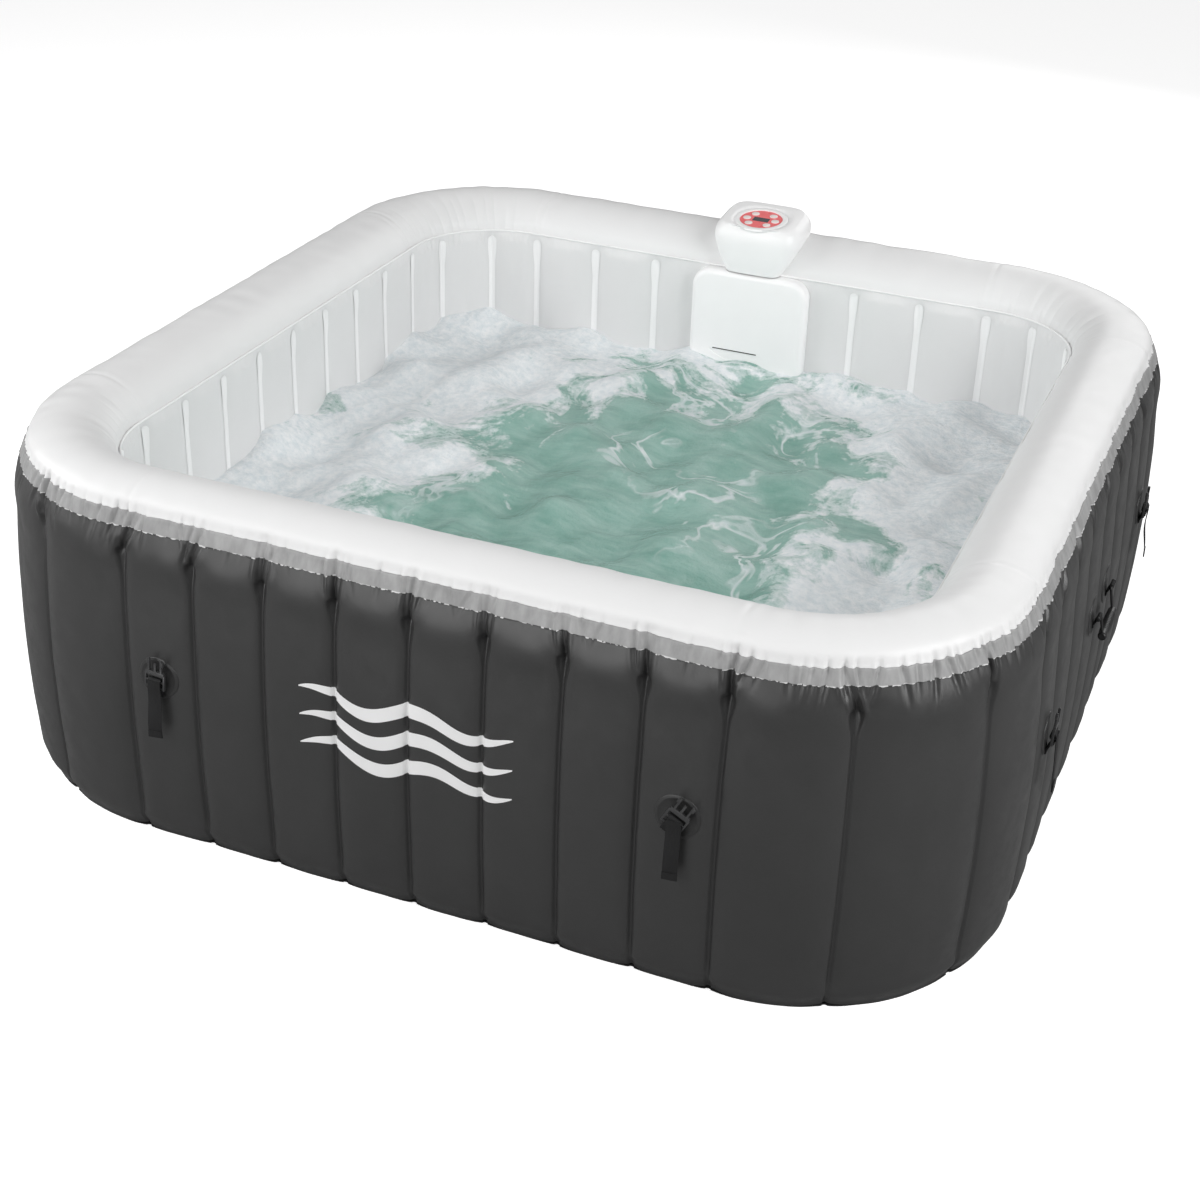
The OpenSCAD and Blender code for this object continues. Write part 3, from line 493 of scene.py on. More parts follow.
black_plastic = moulded_material("black_plastic", (0.016, 0.016, 0.0165), 0.32, bump=0.015)
webbing_black = webbing_material("webbing_black", (0.010, 0.010, 0.0105))


# --- Tub skins ---

def behind_box(points, z, box, side, bottom, top):
    """Mask of a back-wall grid's faces behind a box, drawn in by a margin at its sides, bottom and top."""
    low, high = box
    across = (points[..., 1] > CORNER) & (np.abs(points[..., 0]) < high.x - side)
    return across & (z > low.z + bottom) & (z < high.z - top)


def build_outer_wall():
    """Charcoal skin, with fine rows at the drain, valve and seam. Returns the edge of its foot."""
    z = rows(WALL_BOTTOM, (FOOT_TOP, 7), (0.165, 16), (0.368, 9), (0.480, 15), (WALL_TOP, 39))
    s_grid, z_grid = np.meshgrid(SKIN_COLUMNS, z, indexing="ij")
    fraction, _ = panel_place(s_grid)
    lift = 0.006 * np.abs(2 * fraction - 1) ** 3 * (1 - smooth(z_grid, 0.0, FOOT_TOP))
    points = place(s_grid, wall_rho(s_grid, z_grid), z_grid + lift)
    hole = behind_box(points, z_grid, UNIT_BOX, 0.004, 0.004, 0.006)
    hole = hole | opening(points, DRAIN) | opening(points, VALVE)
    piece = grid_mesh("outer_wall_skin", points, wrap_u=True, keep=~hole)
    finish_piece(piece, charcoal_pvc, "outer_wall")
    return points[:, 0]


def build_base(edge):
    """The flat underside, from the wall's foot inwards."""
    rings = np.stack([edge * [k, k, 0] + [0, 0, 0.0006] for k in (1.0, 0.9, 0.6, 0.3, 0.02)], 1)
    finish_piece(grid_mesh("base_skin", rings, wrap_u=True), base_pvc, "base_sheet")


def corner_folds():
    """Folds across the rim's corners, from the pool side up, as (place, depth, half-width, reach)."""
    folds = []
    past = 0.03  # the folds go on past the ends of the corner's arc
    for side in range(4):
        start = side * PERIOD + STRAIGHT
        s = start - past
        while s < start + OUTER_R * math.pi / 2 + past:
            s += rng.uniform(0.024, 0.052)
            folds.append((s, rng.uniform(0.0010, 0.0024), rng.uniform(0.006, 0.012), rng.uniform(0.06, 0.14)))
    return folds


CORNER_FOLDS = corner_folds()
RIM_START = math.asin((WALL_TOP + 0.0005 - RIM_Z) / RIM_R)
RIM_END = math.pi - math.asin((INNER_SEAM_Z - RIM_Z) / RIM_R)


def rim_radius(s, a):
    """Radius of the rim's tube at a place on the belt and an angle round the tube."""
    from_inner = (RIM_END - a) * RIM_R
    radius = RIM_R + 0.0006 * waves(s, a * RIM_R, 0.25, 21) + 0.0004 * waves(s, a * RIM_R, 0.08, 22)
    for at, deep, half_width, reach in CORNER_FOLDS:
        fade = np.clip(1 - from_inner / reach, 0, 1)
        bend = wrap(s - at - 0.06 * from_inner)
        radius = radius - deep * fade * np.exp(-np.abs(bend) / half_width)
    for side in range(4):  # one welded joint to each side of each corner
        for at in (side * PERIOD + STRAIGHT - 0.02, side * PERIOD + PERIOD + 0.02):
            x = wrap(s - at)
            radius = radius - 0.0007 * bell(x, 0.0045) + 0.0004 * bell(np.abs(x) - 0.011, 0.006)
    return radius - 0.0018 * (1 - smooth(from_inner, 0.0, 0.016))


def rim_rho(s, a):
    """Distance of the rim's skin from the corner centres. Its outer edge and folds meet the wall's."""
    from_outer = (a - RIM_START) * RIM_R
    folds = fold_relief(s[:, :1], WALL_TOP)
    step = wall_rho(s[:, :1], WALL_TOP) + folds - RIM_RHO - RIM_R * math.cos(RIM_START)
    tucked = step * (1 - smooth(from_outer, 0.0, 0.045)) ** 1.5
    folded = folds * np.clip(1 - from_outer / 0.030, 0, 1) ** 1.5
    return RIM_RHO + rim_radius(s, a) * np.cos(a) + tucked - folded


def build_seam_band():
    """Welded band over the outer seam. It follows both skins' folds and has a cut lower edge."""
    high = WALL_TOP + BAND_LAP
    across = np.array([0.0, 0.03, 0.15, 0.3, 0.45, 0.6, 0.75, 0.9, 1.0])
    s_grid, v = np.meshgrid(SKIN_COLUMNS, across, indexing="ij")
    notch = 0.0004 * np.sign(np.sin(2 * math.pi * s_grid / (BELT / round(BELT / 0.0125))))
    ragged = 0.0008 * waves(s_grid, 0 * v, 0.09, 8) + 0.0004 * waves(s_grid, 0 * v, 0.021, 10)
    lap = 0.0006 * waves(s_grid, 0 * v, 0.08, 12)
    z = BAND_LOW + (high - BAND_LOW) * v - (1 - v) * (ragged + notch) + v * lap
    angle = np.arcsin(np.clip((z - RIM_Z) / RIM_R, 0, 0.98))
    on_rim = rim_rho(s_grid, np.maximum(angle, RIM_START))
    skin = np.where(z > WALL_TOP, on_rim, wall_rho(s_grid, np.minimum(z, WALL_TOP)))
    ruffle = 0.0002 * waves(s_grid, z, 0.030, 13) + 0.0003 * waves(s_grid, z, 0.060, 14)
    outer = skin + 0.0012 + np.maximum(ruffle, -0.0005)
    inner = place(s_grid, outer - 0.0006, z)[:, ::-1]
    ring = np.concatenate([place(s_grid, outer, z), inner], 1)
    finish_piece(grid_mesh("seam_band", ring, wrap_u=True, wrap_v=True), band_pvc, "rim_seam_tape")


def build_rim():
    """Rim tube, its flange under the seam band, its lip over the pool wall, and the bead on that seam."""
    turn = np.linspace(RIM_START, RIM_END, 42)
    s_grid, a = np.meshgrid(SKIN_COLUMNS, turn, indexing="ij")
    rho = rim_rho(s_grid, a)
    z = RIM_Z + rim_radius(s_grid, a) * np.sin(a)
    lip_rho = rho[:, -1:] + np.array([[-0.0012, 0.0010, 0.0040]])
    lip_z = z[:, -1:] - np.array([[0.003, 0.008, 0.014]])
    flange_z = z[:, :1] - np.array([[0.010, 0.004]])
    flange_rho = wall_rho(s_grid[:, :2], np.minimum(flange_z, WALL_TOP)) - 0.0022
    rho = np.concatenate([flange_rho, rho, lip_rho], 1)
    z = np.concatenate([flange_z, z, lip_z], 1)
    s_grid = np.concatenate([s_grid, s_grid[:, -5:]], 1)
    finish_piece(grid_mesh("rim_skin", place(s_grid, rho, z), wrap_u=True), rim_pvc, "top_rim")
    s, t = np.meshgrid(POOL_COLUMNS, full_turn(8), indexing="ij")
    bead = place(s, INNER_R - 0.0006 + 0.0019 * np.cos(t), INNER_SEAM_Z - 0.0035 + 0.0022 * np.sin(t))
    finish_piece(grid_mesh("pool_seam_bead", bead, wrap_u=True, wrap_v=True), weld_pvc)


def inner_rho(s, z):
    """Distance of the pool-side skin from the corner centres: panels swell towards the pool."""
    fraction, distance = panel_place(s)
    swell = 1 - np.abs(2 * fraction - 1) ** 2.6
    height = smooth(z, 0.0, 0.05) * (1 - smooth(z, 0.555, 0.583))
    start, normal = belt_points(s)
    x = start[..., 0] + normal[..., 0] * INNER_R
    y = start[..., 1] + normal[..., 1] * INNER_R
    beside_unit = np.where(y > CORNER, smooth(np.abs(x), 0.140, 0.190), 1.0)
    beside_unit = beside_unit * smooth(port_reach(s, z, DRAIN), *PORT_FLAT)
    strip = 0.0012 * (1 - smooth(distance, 0.006, 0.010)) * (1 - smooth(z, 0.560, 0.568))
    low_relief = 0.0007 * waves(s, z, 0.22, 31) + 0.0003 * waves(s, z, 0.07, 32)
    wrinkle = 0.0016 * bell(z - 0.566, 0.012) * waves(s, 0 * z, 0.035, 33)
    return INNER_R + (0.0035 - 0.0095 * swell) * height * beside_unit + strip + low_relief + wrinkle


def build_inner_wall():
    """Pool-side skin, with fine rows at the drain and the seam."""
    z = rows(0.0026, (0.05, 5), (0.17, 16), (0.50, 17), (INNER_SEAM_Z - 0.001, 21))[::-1]
    s_grid, z_grid = np.meshgrid(POOL_COLUMNS, z, indexing="ij")
    points = place(s_grid, inner_rho(s_grid, z_grid), z_grid)
    hole = behind_box(points, z_grid, PANEL_BOX, 0.013, 0.020, 0.020)
    piece = grid_mesh("inner_wall_skin", points, wrap_u=True, keep=~(hole | opening(points, DRAIN)))
    finish_piece(piece, liner_pvc, "inner_wall")


def build_weld_strips():
    """White weld strips up the pool wall, with rounded, slightly wider tops."""
    widening = 0.50  # height where a strip starts to widen
    z = np.concatenate([rows(0.012, (widening, 23))[:-1],
                        widening + 0.068 * np.sin(np.linspace(0, math.pi / 2, 16))])
    radius = 0.0095
    cap = np.clip((z - (z[-1] - radius)) / radius, 0, 1)
    half = (0.0068 + 0.0027 * smooth(z, widening, 0.545)) * np.sqrt(1 - cap**2) + 0.0002
    u = np.linspace(-1, 1, 7)
    strips = []
    for weld in WELDS:
        in_corner = (weld % PERIOD) > STRAIGHT + 1e-6
        s_grid = weld + np.outer(u, half) * (OUTER_R / INNER_R if in_corner else 1.0)
        z_grid = np.broadcast_to(z, s_grid.shape)
        crown = 0.0008 * (1 - u[:, None] ** 2)
        strips.append(place(s_grid, inner_rho(s_grid, z_grid) - 0.0006 - crown, z_grid)[:, ::-1])
    finish_piece(sheets_mesh("pool_weld_strips", strips), weld_pvc)


def build_floor():
    """Floor liner: rings that shrink from the pool wall inwards, with a few low ripples."""
    s = columns(0.012)
    shrink = np.linspace(1.0, 0.0, 30)[:-1]
    edge = place(s, np.full_like(s, INNER_R - 0.0005), 0.0 * s)
    points = np.stack([edge * [k, k, 0] for k in shrink], 1)
    x, y = points[..., 0], points[..., 1]
    ripple = np.sin(9 * x + 3 * np.sin(7 * y)) * np.sin(8 * y + 2 * np.sin(6 * x + 1))
    points[..., 2] = 0.0016 + 0.0012 * np.clip(ripple, 0, 1) * smooth(shrink, 1.0, 0.9)
    finish_piece(grid_mesh("floor_skin", points[:, ::-1], wrap_u=True), liner_pvc, "floor_liner")


def build_webs():
    """Upright webs between the two wall skins, trimmed to the welds they end on."""
    z = np.linspace(0.060, WELD_TOP, 26)
    clear = 0.0012  # gap to each skin
    sheets = []
    for weld in WELDS:
        outer = wall_rho(np.full_like(z, weld), z) - clear
        inner = inner_rho(np.full_like(z, weld), z) + clear
        rho = inner + (outer - inner) * np.linspace(0, 1, 9)[:, None]
        sheets.append(place(np.full_like(rho, weld), rho, np.broadcast_to(z, rho.shape))[:, ::-1])
    piece = sheets_mesh("web_sheets", sheets)
    solid = piece.modifiers.new("thickness", "SOLIDIFY")
    solid.thickness = 0.0010
    solid.offset = 0.0
    finish_piece(piece, liner_pvc, "wall_webs")


def build_decal():
    """Three plain printed waves on the front wall."""
    reach = 0.190  # half the length of a wave
    x = SKIN_COLUMNS - CORNER
    x = x[np.abs(x) < reach]
    u = np.linspace(-1, 1, 9)
    sheets = []
    for k, height in enumerate((0.284, 0.332, 0.380)):
        taper = (1 - (x / reach) ** 2) ** 0.7 + 0.02
        crest = height + 0.013 * np.sin(2 * math.pi * x / reach + 0.4 * k)
        z = crest + np.outer(u, 0.0125 * taper)
        s = np.broadcast_to(x + CORNER, z.shape)
        sheets.append(place(s, wall_rho(s, z) + 0.0006, z))
    finish_piece(sheets_mesh("wave_print", sheets), decal_ink)


build_base(build_outer_wall())
build_seam_band()
build_rim()
build_inner_wall()
build_weld_strips()
build_floor()
build_webs()
build_decal()


# --- Water, which is not part of the object ---

def water_material():
    """Green, rippled water with foam: patches that thicken towards the sides and back, and thin threads."""
    n = Nodes("water")
    warp = n.node("TexNoise", {"Vector": n.world, "Scale": 2.3, "Detail": 2.0}).outputs[1]
    spread = n.node("VectorMath", {0: n.world, 1: warp, 2: warp}, operation="MULTIPLY_ADD").outputs[0]
    cells = n.noise(5.5, 6.0, 0.62, spread)
    x, y, _ = n.node("SeparateXYZ", {"Vector": n.world}).outputs
    left = n.between(x, -0.52, -0.15, 0.32, -0.04)
    right = n.between(x, 0.22, 0.52, -0.04, 0.32)
    back = n.between(y, 0.10, 0.60, -0.04, 0.20)
    bias = n.math("ADD", n.math("ADD", left, right), back)
    froth = n.noise(60.0, 5.0, 0.7)
    broken = n.math("ADD", n.math("ADD", cells, bias), n.math("MULTIPLY", froth, 0.20))
    patches = n.between(broken, 0.67, 0.79)
    curls = n.math("SUBTRACT", n.noise(3.4, 4.0, at=spread), 0.5)
    threads = n.between(n.math("ABSOLUTE", curls), 0.0, 0.028, 0.85, 0.0)
    gate = n.between(n.noise(2.6, 1.0), 0.46, 0.56)
    foam = n.math("MAXIMUM", patches, n.math("MULTIPLY", threads, gate))
    streaks = n.noise(1.0, 5.0, 0.65, n.scaled(9, 26, 1))
    deep = n.mix(n.between(streaks, 0.35, 0.65), (0.195, 0.385, 0.325, 1), (0.330, 0.530, 0.470, 1))
    white = n.mix(n.between(froth, 0.35, 0.65), (0.74, 0.80, 0.83, 1), (0.93, 0.95, 0.96, 1))
    n.set(Base_Color=n.mix(foam, deep, white), Roughness=n.between(foam, 0.0, 1.0, 0.10, 0.75))
    height = n.blend(n.noise(1.0, 6.0, 0.6, n.scaled(24, 44, 1)), froth, 0.5)
    n.set(Normal=n.bump(height, 0.6, 0.015), Specular_IOR_Level=0.6)
    return n.material


def build_water():
    """Water surface that runs just into the pool wall, with low waves from many directions."""
    reach = POOL_HALF + 0.012
    line = np.linspace(-reach, reach, 261)
    x, y = np.meshgrid(line, line, indexing="ij")
    z = np.full_like(x, WATER_Z)
    local = np.random.default_rng(5)
    for _ in range(26):
        length = local.uniform(0.05, 0.30)
        heading = local.uniform(0, math.pi)
        travel = x * math.cos(heading) + y * math.sin(heading)
        z += 0.015 * length * np.sin(2 * math.pi / length * travel + local.uniform(0, 6.3))
    corner = np.hypot(np.clip(np.abs(x) - CORNER, 0, None), np.clip(np.abs(y) - CORNER, 0, None))
    piece = grid_mesh("water", np.stack([x, y, z], -1), keep=corner < reach - CORNER)
    piece.data.materials.append(water_material())


build_water()


# --- Fittings ---

BAR_OUT = 0.0085  # an anchor bar's distance from the wall's widest plane
PATCH_R = 0.0375
BUCKLE_PATCH_RISE = 0.012  # how far a patch's centre lies above its buckle's bar
HANDLE_PATCH = 0.065  # half the distance between a handle's patches
WEBBING = 0.0013  # thickness of all webbing, and widths of the three kinds
WEBBING_W = 0.0245
BUCKLE_LOOP_W = 0.0235
HANDLE_LOOP_W = 0.0195
TAIL_END = 0.102  # a strap's tail hangs this far below its hinge
GRIP_AT = (0.009, -0.046)  # a handle grip's axis, out of the wall and up from the hinge


def wall_frame(at, axis=None, back=0.0):
    """Local frame of a fitting: X along the wall, or along its hinge axis if it leans, Y out and Z up.

    Its origin stands back from the point, towards the wall.
    """
    x, y = at[0], at[1]
    out = Vector((math.copysign(1, x), 0, 0)) if abs(x) > abs(y) else Vector((0, math.copysign(1, y), 0))
    along = out.cross(Vector((0, 0, 1)))
    if axis:
        along = Vector(axis).normalized() * math.copysign(1, along.dot(Vector(axis)))
    matrix = Matrix((along, out, along.cross(out))).transposed().to_4x4()
    matrix.translation = at - out * back
    return np.array(matrix)


def belt_of(point):
    """Place along the belt of a point on one of the four straight walls."""
    x, y = point[0], point[1]
    if abs(y) >= abs(x):
        return CORNER + x if y < 0 else 2 * PERIOD + CORNER - x
    return PERIOD + CORNER + y if x > 0 else 3 * PERIOD + CORNER - y


def moved(points, matrix):
    return np.asarray(points, float) @ matrix[:3, :3].T + matrix[:3, 3]


def along_path(path):
    step = np.gradient(path, axis=0)
    return step / np.linalg.norm(step, axis=1, keepdims=True)


def ribbon(path, width, matrix):
    """Grid of a flat strap with round edges that follows a path of (out, up) points."""
    half = width / 2
    edge = WEBBING / 2
    section = [(0, -edge), (half - edge, -edge), (half - 0.3 * edge, -0.7 * edge),
               (half, 0), (half - 0.3 * edge, 0.7 * edge), (half - edge, edge)]
    section += [(-across, -lift) for across, lift in section]
    step = along_path(path)
    side = np.stack([-step[:, 1], step[:, 0]], 1)
    lines = [np.column_stack([np.full(len(path), across), path + lift * side]) for across, lift in section]
    return moved(np.stack(lines, 1), matrix)


def tube(path, radii, sides=20):
    """Grid of a round bar along a 3-D path."""
    path = np.asarray(path, float)
    radii = np.broadcast_to(radii, len(path))
    step = along_path(path)
    guide = np.array([0.0, 1.0, 0.0]) if abs(step[:, 1]).max() < 0.9 else np.array([1.0, 0.0, 0.0])
    across = np.cross(step, guide)
    across /= np.linalg.norm(across, axis=1, keepdims=True)
    up = np.cross(across, step)
    turn = full_turn(sides)
    ring = across[:, None] * np.cos(turn)[None, :, None] + up[:, None] * np.sin(turn)[None, :, None]
    return path[:, None] + ring * radii[:, None, None]


def rounded_path(corners, radius, steps=7):
    """A 3-D polyline with its corners rounded."""
    corners = [np.array(c, float) for c in corners]
    path = [corners[0]]
    for before, here, after in zip(corners[:-2], corners[1:-1], corners[2:]):
        a = here + (before - here) / np.linalg.norm(before - here) * radius
        b = here + (after - here) / np.linalg.norm(after - here) * radius
        for t in np.linspace(0, 1, steps):
            path.append((1 - t) ** 2 * a + 2 * t * (1 - t) * here + t**2 * b)
    path.append(corners[-1])
    return path


class Builder:
    """Collects rods, each a grid whose rows are closed rings, into one mesh."""

    def __init__(self, *rods):
        self.verts = []
        self.faces = []
        for rod in rods:
            self.add(rod)

    def add(self, points, caps=True):
        n, m = points.shape[:2]
        base = len(self.verts)
        self.verts += points.reshape(-1, 3).tolist()
        self.faces += (base + grid_quads(points, wrap_v=True)).reshape(-1, 4).tolist()
        if caps:
            self.faces.append(range(base, base + m))
            self.faces.append(range(base + (n - 1) * m, base + n * m)[::-1])

    def build(self, name):
        piece = make_object(name, self.verts, self.faces)
        bm = bmesh.new()
        bm.from_mesh(piece.data)
        bmesh.ops.recalc_face_normals(bm, faces=bm.faces)
        bm.to_mesh(piece.data)
        bm.free()
        piece.data.set_sharp_from_angle(angle=math.radians(50))
        return piece


def draped_disc(builder, along, z):
    """Round welded patch that follows the swollen wall, with a raised weld ring near its edge."""
    steps = [(1.0, -0.0004), (1.0, 0.0007), (0.985, 0.0012), (0.93, 0.0013), (0.90, 0.0019), (0.85, 0.0019),
             (0.82, 0.0013), (0.6, 0.0013), (0.3, 0.0013), (0.02, 0.0013)]
    turn = full_turn(48)
    rings = []
    for scale, height in steps:
        s = along + PATCH_R * scale * np.cos(turn)
        up = z + PATCH_R * scale * np.sin(turn)
        rings.append(place(s, wall_rho(s, up) + height, up))
    builder.add(np.stack(rings, 0))


def anchor_path(along, z):
    """Side view, as (out, up) points from the wall plane, of the strap that holds a bar to its patch."""
    foot = float(wall_rho(np.array(along), np.array(z - 0.016))) - OUTER_R + 0.0020
    turn = np.radians(np.linspace(200, -95, 22))
    loop = np.stack([BAR_OUT + 0.0033 * np.cos(turn), 0.0033 * np.sin(turn)], 1)
    rise = [(foot, -0.0215), (foot, -0.0170), (foot + 0.0006, -0.0125), (BAR_OUT - 0.0044, -0.0045)]
    back = [(BAR_OUT - 0.0022, -0.0050), (BAR_OUT - 0.0036, -0.0085), (foot + 0.0018, -0.0140),
            (foot + 0.0014, -0.0175), (foot + 0.0014, -0.0210)]
    return np.concatenate([rise, loop, back])


def build_patches():
    """Round reinforcement patches, and the short webbing loops that hold the buckles and handles to them."""
    spots = [(f"buckle_{i}_flip", 0, BUCKLE_PATCH_RISE, BUCKLE_LOOP_W) for i in range(1, 9)]
    spots += [(f"{name}_swing", side * HANDLE_PATCH, 0, HANDLE_LOOP_W)
              for name in ("handle_left", "handle_right") for side in (-1, 1)]
    discs = Builder()
    loops = Builder()
    for name, along, rise, width in spots:
        joint = JOINTS[name]
        at = Vector(joint["pos_m"]) + Vector(joint["axis"]) * along
        matrix = wall_frame(at, joint["axis"], BAR_OUT)
        centre = moved((0, 0, rise), matrix)
        draped_disc(discs, belt_of(centre), centre[2])
        loops.add(ribbon(anchor_path(belt_of(at), at.z), width, matrix))
    finish_piece(discs.build("patch_discs"), patch_pvc, "wall_patches")
    finish_piece(loops.build("anchor_loops"), webbing_black)


def build_strap(i):
    """Webbing looped round the buckle's middle bar, with a hanging tail that curls and ends in a hem."""
    joint = JOINTS[f"strap_{i}_hang"]
    at = Vector(joint["pos_m"])
    leaned = wall_frame(at, joint["axis"])  # the loop leans with the bar, and the tail hangs upright
    upright = wall_frame(at)
    local = np.random.default_rng(40 + i)
    turn = np.radians(np.linspace(-40, 350, 40))
    radius = 0.0041 + 0.0012 * smooth(turn, math.radians(-40), math.radians(120))
    loop = np.stack([radius * np.cos(turn), radius * np.sin(turn)], 1)
    down = np.linspace(0.002, -TAIL_END, 36)
    sway = 0.0012 * np.sin(60 * down + local.uniform(0, 6)) * smooth(-down, 0, 0.03)
    tail = np.stack([0.0057 + 0.005 * smooth(-down, 0.03, 0.10) + sway, down], 1)
    fold = WEBBING * 0.6
    bend = np.radians(np.linspace(200, 340, 7))
    hem = [(tail[-1, 0] + fold + fold * math.cos(b), down[-1] + fold * math.sin(b)) for b in bend]
    hem += [(tail[-1, 0] + 2 * fold, down[-1] + 0.012 * k) for k in (0.1, 0.5, 1.0)]
    points = ribbon(np.concatenate([tail, hem]), WEBBING_W, upright)
    reach = np.clip((at.z - points[..., 2]) / (TAIL_END + 0.003), 0, 1)
    across = (points - upright[:3, 3]) @ upright[:3, 0]
    twist = math.tan(math.radians(local.uniform(4, 10)))
    points = points + upright[:3, 1] * ((across + WEBBING_W / 2) * twist * reach)[..., None]
    builder = Builder(ribbon(loop, WEBBING_W, leaned), points)
    name = f"strap_{i}"
    finish_piece(builder.build(f"{name}_webbing"), webbing_black, name, name)


def build_handle(name):
    """Carry handle: a bent rod with end knobs, and a ribbed grip moulded across it."""
    joint = JOINTS[f"{name}_swing"]
    matrix = wall_frame(Vector(joint["pos_m"]), joint["axis"])
    builder = Builder()
    inner = HANDLE_PATCH - 0.014
    for side in (-1, 1):
        corners = [(side * (HANDLE_PATCH + 0.0135), 0, 0), (side * inner, 0, 0),
                   (side * inner * 0.97, *GRIP_AT)]
        builder.add(moved(tube(rounded_path(corners, 0.0045), 0.0025), matrix))
        knob = [(side * (HANDLE_PATCH + step), 0, 0) for step in (0.0113, 0.0120, 0.0140, 0.0147)]
        builder.add(moved(tube(knob, [0.0030, 0.0042, 0.0042, 0.0030]), matrix))
    half = inner + 0.004
    x = np.linspace(-half, half, 84)
    end = np.clip((half - np.abs(x)) / 0.004, 0, 1)
    ribs = 0.0004 * np.cos(2 * math.pi * x / 0.006) * (np.abs(x) < 0.036)
    radii = 0.0068 + 0.0019 * np.sqrt(end) + 0.0005 * np.cos(math.pi * x / inner) + ribs
    grip = [(across, *GRIP_AT) for across in x]
    builder.add(moved(tube(grip, radii, 28), matrix))
    finish_piece(builder.build(f"{name}_bail"), black_plastic, name, name)


# --- Control head and inner panel ---

PANEL_PIVOT = Vector((0.0, 0.758, 0.6885))  # centre of the control panel's top face
PANEL_TILT = math.tan(math.radians(6))
BEZEL_R = 0.0586  # radius of the round opening that the bezel fills
HEAD_FOOT = 0.580
HEAD_BACK = 0.856
# The head's half-width, and the place of its front, at heights from 0 (foot) to 1 (top).
HEAD_SIDES = ((0, 0.063), (0.2, 0.0765), (0.4, 0.087), (0.62, 0.0958), (0.78, 0.0978), (0.9, 0.0935),
              (0.96, 0.0885), (1.0, 0.082))
HEAD_FRONT = ((0, 0.7055), (0.25, 0.7015), (0.6, 0.699), (0.8, 0.700), (0.92, 0.7040), (1.0, 0.7110))


def finish_white(piece, replaces=None):
    finish_piece(piece, white_plastic, replaces)


def soft_profile(knots, t, blur):
    """A profile through the knots with its corners smoothed out."""
    steps = np.linspace(-blur, blur, 13)
    weights = np.cos(np.linspace(-1, 1, 13) * math.pi / 2) + 0.05
    values = np.interp(t + steps, *zip(*knots))
    return float((values * weights).sum() / weights.sum())


def build_head():
    """Smooth cover that hooks over the rim: narrow at its foot, widest near the rim's crest, flat on top."""
    turn = full_turn(96)
    c = np.cos(turn)
    d = np.sin(turn)
    height = PANEL_PIVOT.z - HEAD_FOOT
    rings = []
    for t in np.linspace(0, 1, 34):
        z = HEAD_FOOT + height * t
        blur = 0.12 * min(1.0, 4 * t, 4 * (1 - t) + 0.25)
        width = soft_profile(HEAD_SIDES, t, blur)
        front = soft_profile(HEAD_FRONT, t, blur)
        back = HEAD_BACK - 0.010 * smooth(t, 0.8, 1.0)
        power = 2 / np.interp(t, [0, 0.5, 1.0], [6.0, 4.6, 4.2])
        x = width * np.sign(c) * np.abs(c) ** power
        y = (front + back) / 2 + (back - front) / 2 * np.sign(d) * np.abs(d) ** power
        if z < RIM_Z + RIM_R * 0.985:
            y = np.minimum(y, CORNER + RIM_RHO - math.sqrt(RIM_R**2 - (z - RIM_Z) ** 2) + 0.003)
        rings.append(np.stack([x, y, z + (y - PANEL_PIVOT.y) * PANEL_TILT * smooth(t, 0.5, 0.95)], 1))
    goal = np.stack([BEZEL_R * c, PANEL_PIVOT.y + BEZEL_R * d], 1)
    shoulder = rings[-1][:, :2]
    for k in (0.08, 0.25, 0.6, 1.0):
        xy = (1 - k) * shoulder + k * goal
        top = PANEL_PIVOT.z + 0.0015 * smooth(k, 0, 0.5) + (xy[:, 1] - PANEL_PIVOT.y) * PANEL_TILT
        rings.append(np.column_stack([xy, top]))
    rings.append(rings[-1] - [0, 0, 0.004])
    finish_white(grid_mesh("head_shell", np.stack(rings, 0), wrap_v=True), "head_cover")


def build_saddle():
    """Curved plate under the head that sits on the rim."""
    lean = np.radians(np.linspace(110, 140, 12))
    x, a = np.meshgrid(np.linspace(-0.070, 0.070, 9), lean, indexing="ij")
    lower, upper = (np.stack([x, CORNER + RIM_RHO + r * np.cos(a), RIM_Z + r * np.sin(a)], -1)
                    for r in (RIM_R + 0.0012, RIM_R + 0.0042))
    finish_white(Builder(np.concatenate([lower, upper[:, ::-1]], 1)).build("head_saddle"), "head_base")


def rounded_outline(half_w, half_h, radius):
    """Points round a rectangle with rounded corners, centred on the origin."""
    points = []
    for k, (sx, sz) in enumerate(((1, 1), (-1, 1), (-1, -1), (1, -1))):
        for a in np.linspace(0, math.pi / 2, 20):
            a = a + k * math.pi / 2
            points.append((sx * (half_w - radius) + radius * math.cos(a),
                           sz * (half_h - radius) + radius * math.sin(a)))
    return np.array(points)


def cut(piece, cutters):
    """Cuts the cutters out of a piece and removes them."""
    for cutter in cutters:
        mod = piece.modifiers.new("cut", "BOOLEAN")
        mod.object = cutter
        mod.solver = "EXACT"
    bpy.context.view_layer.update()
    mesh = bpy.data.meshes.new_from_object(piece.evaluated_get(bpy.context.evaluated_depsgraph_get()))
    piece.modifiers.clear()
    piece.data = mesh
    for cutter in cutters:
        bpy.data.objects.remove(cutter)


def at_depth(outline, y):
    """Puts an (x, z) outline at one depth, as 3-D points."""
    outline = np.asarray(outline)
    return np.column_stack([outline[:, 0], np.full(len(outline), y), outline[:, 1]])


def prism(name, outline, y0, y1):
    """A solid whose (x, z) outline runs from y0 to y1."""
    return Builder(np.stack([at_depth(outline, y0), at_depth(outline, y1)], 0)).build(name)


def circle_outline(at, radius, turn):
    return np.stack([at[0] + radius * np.cos(turn), at[1] + radius * np.sin(turn)], 1)


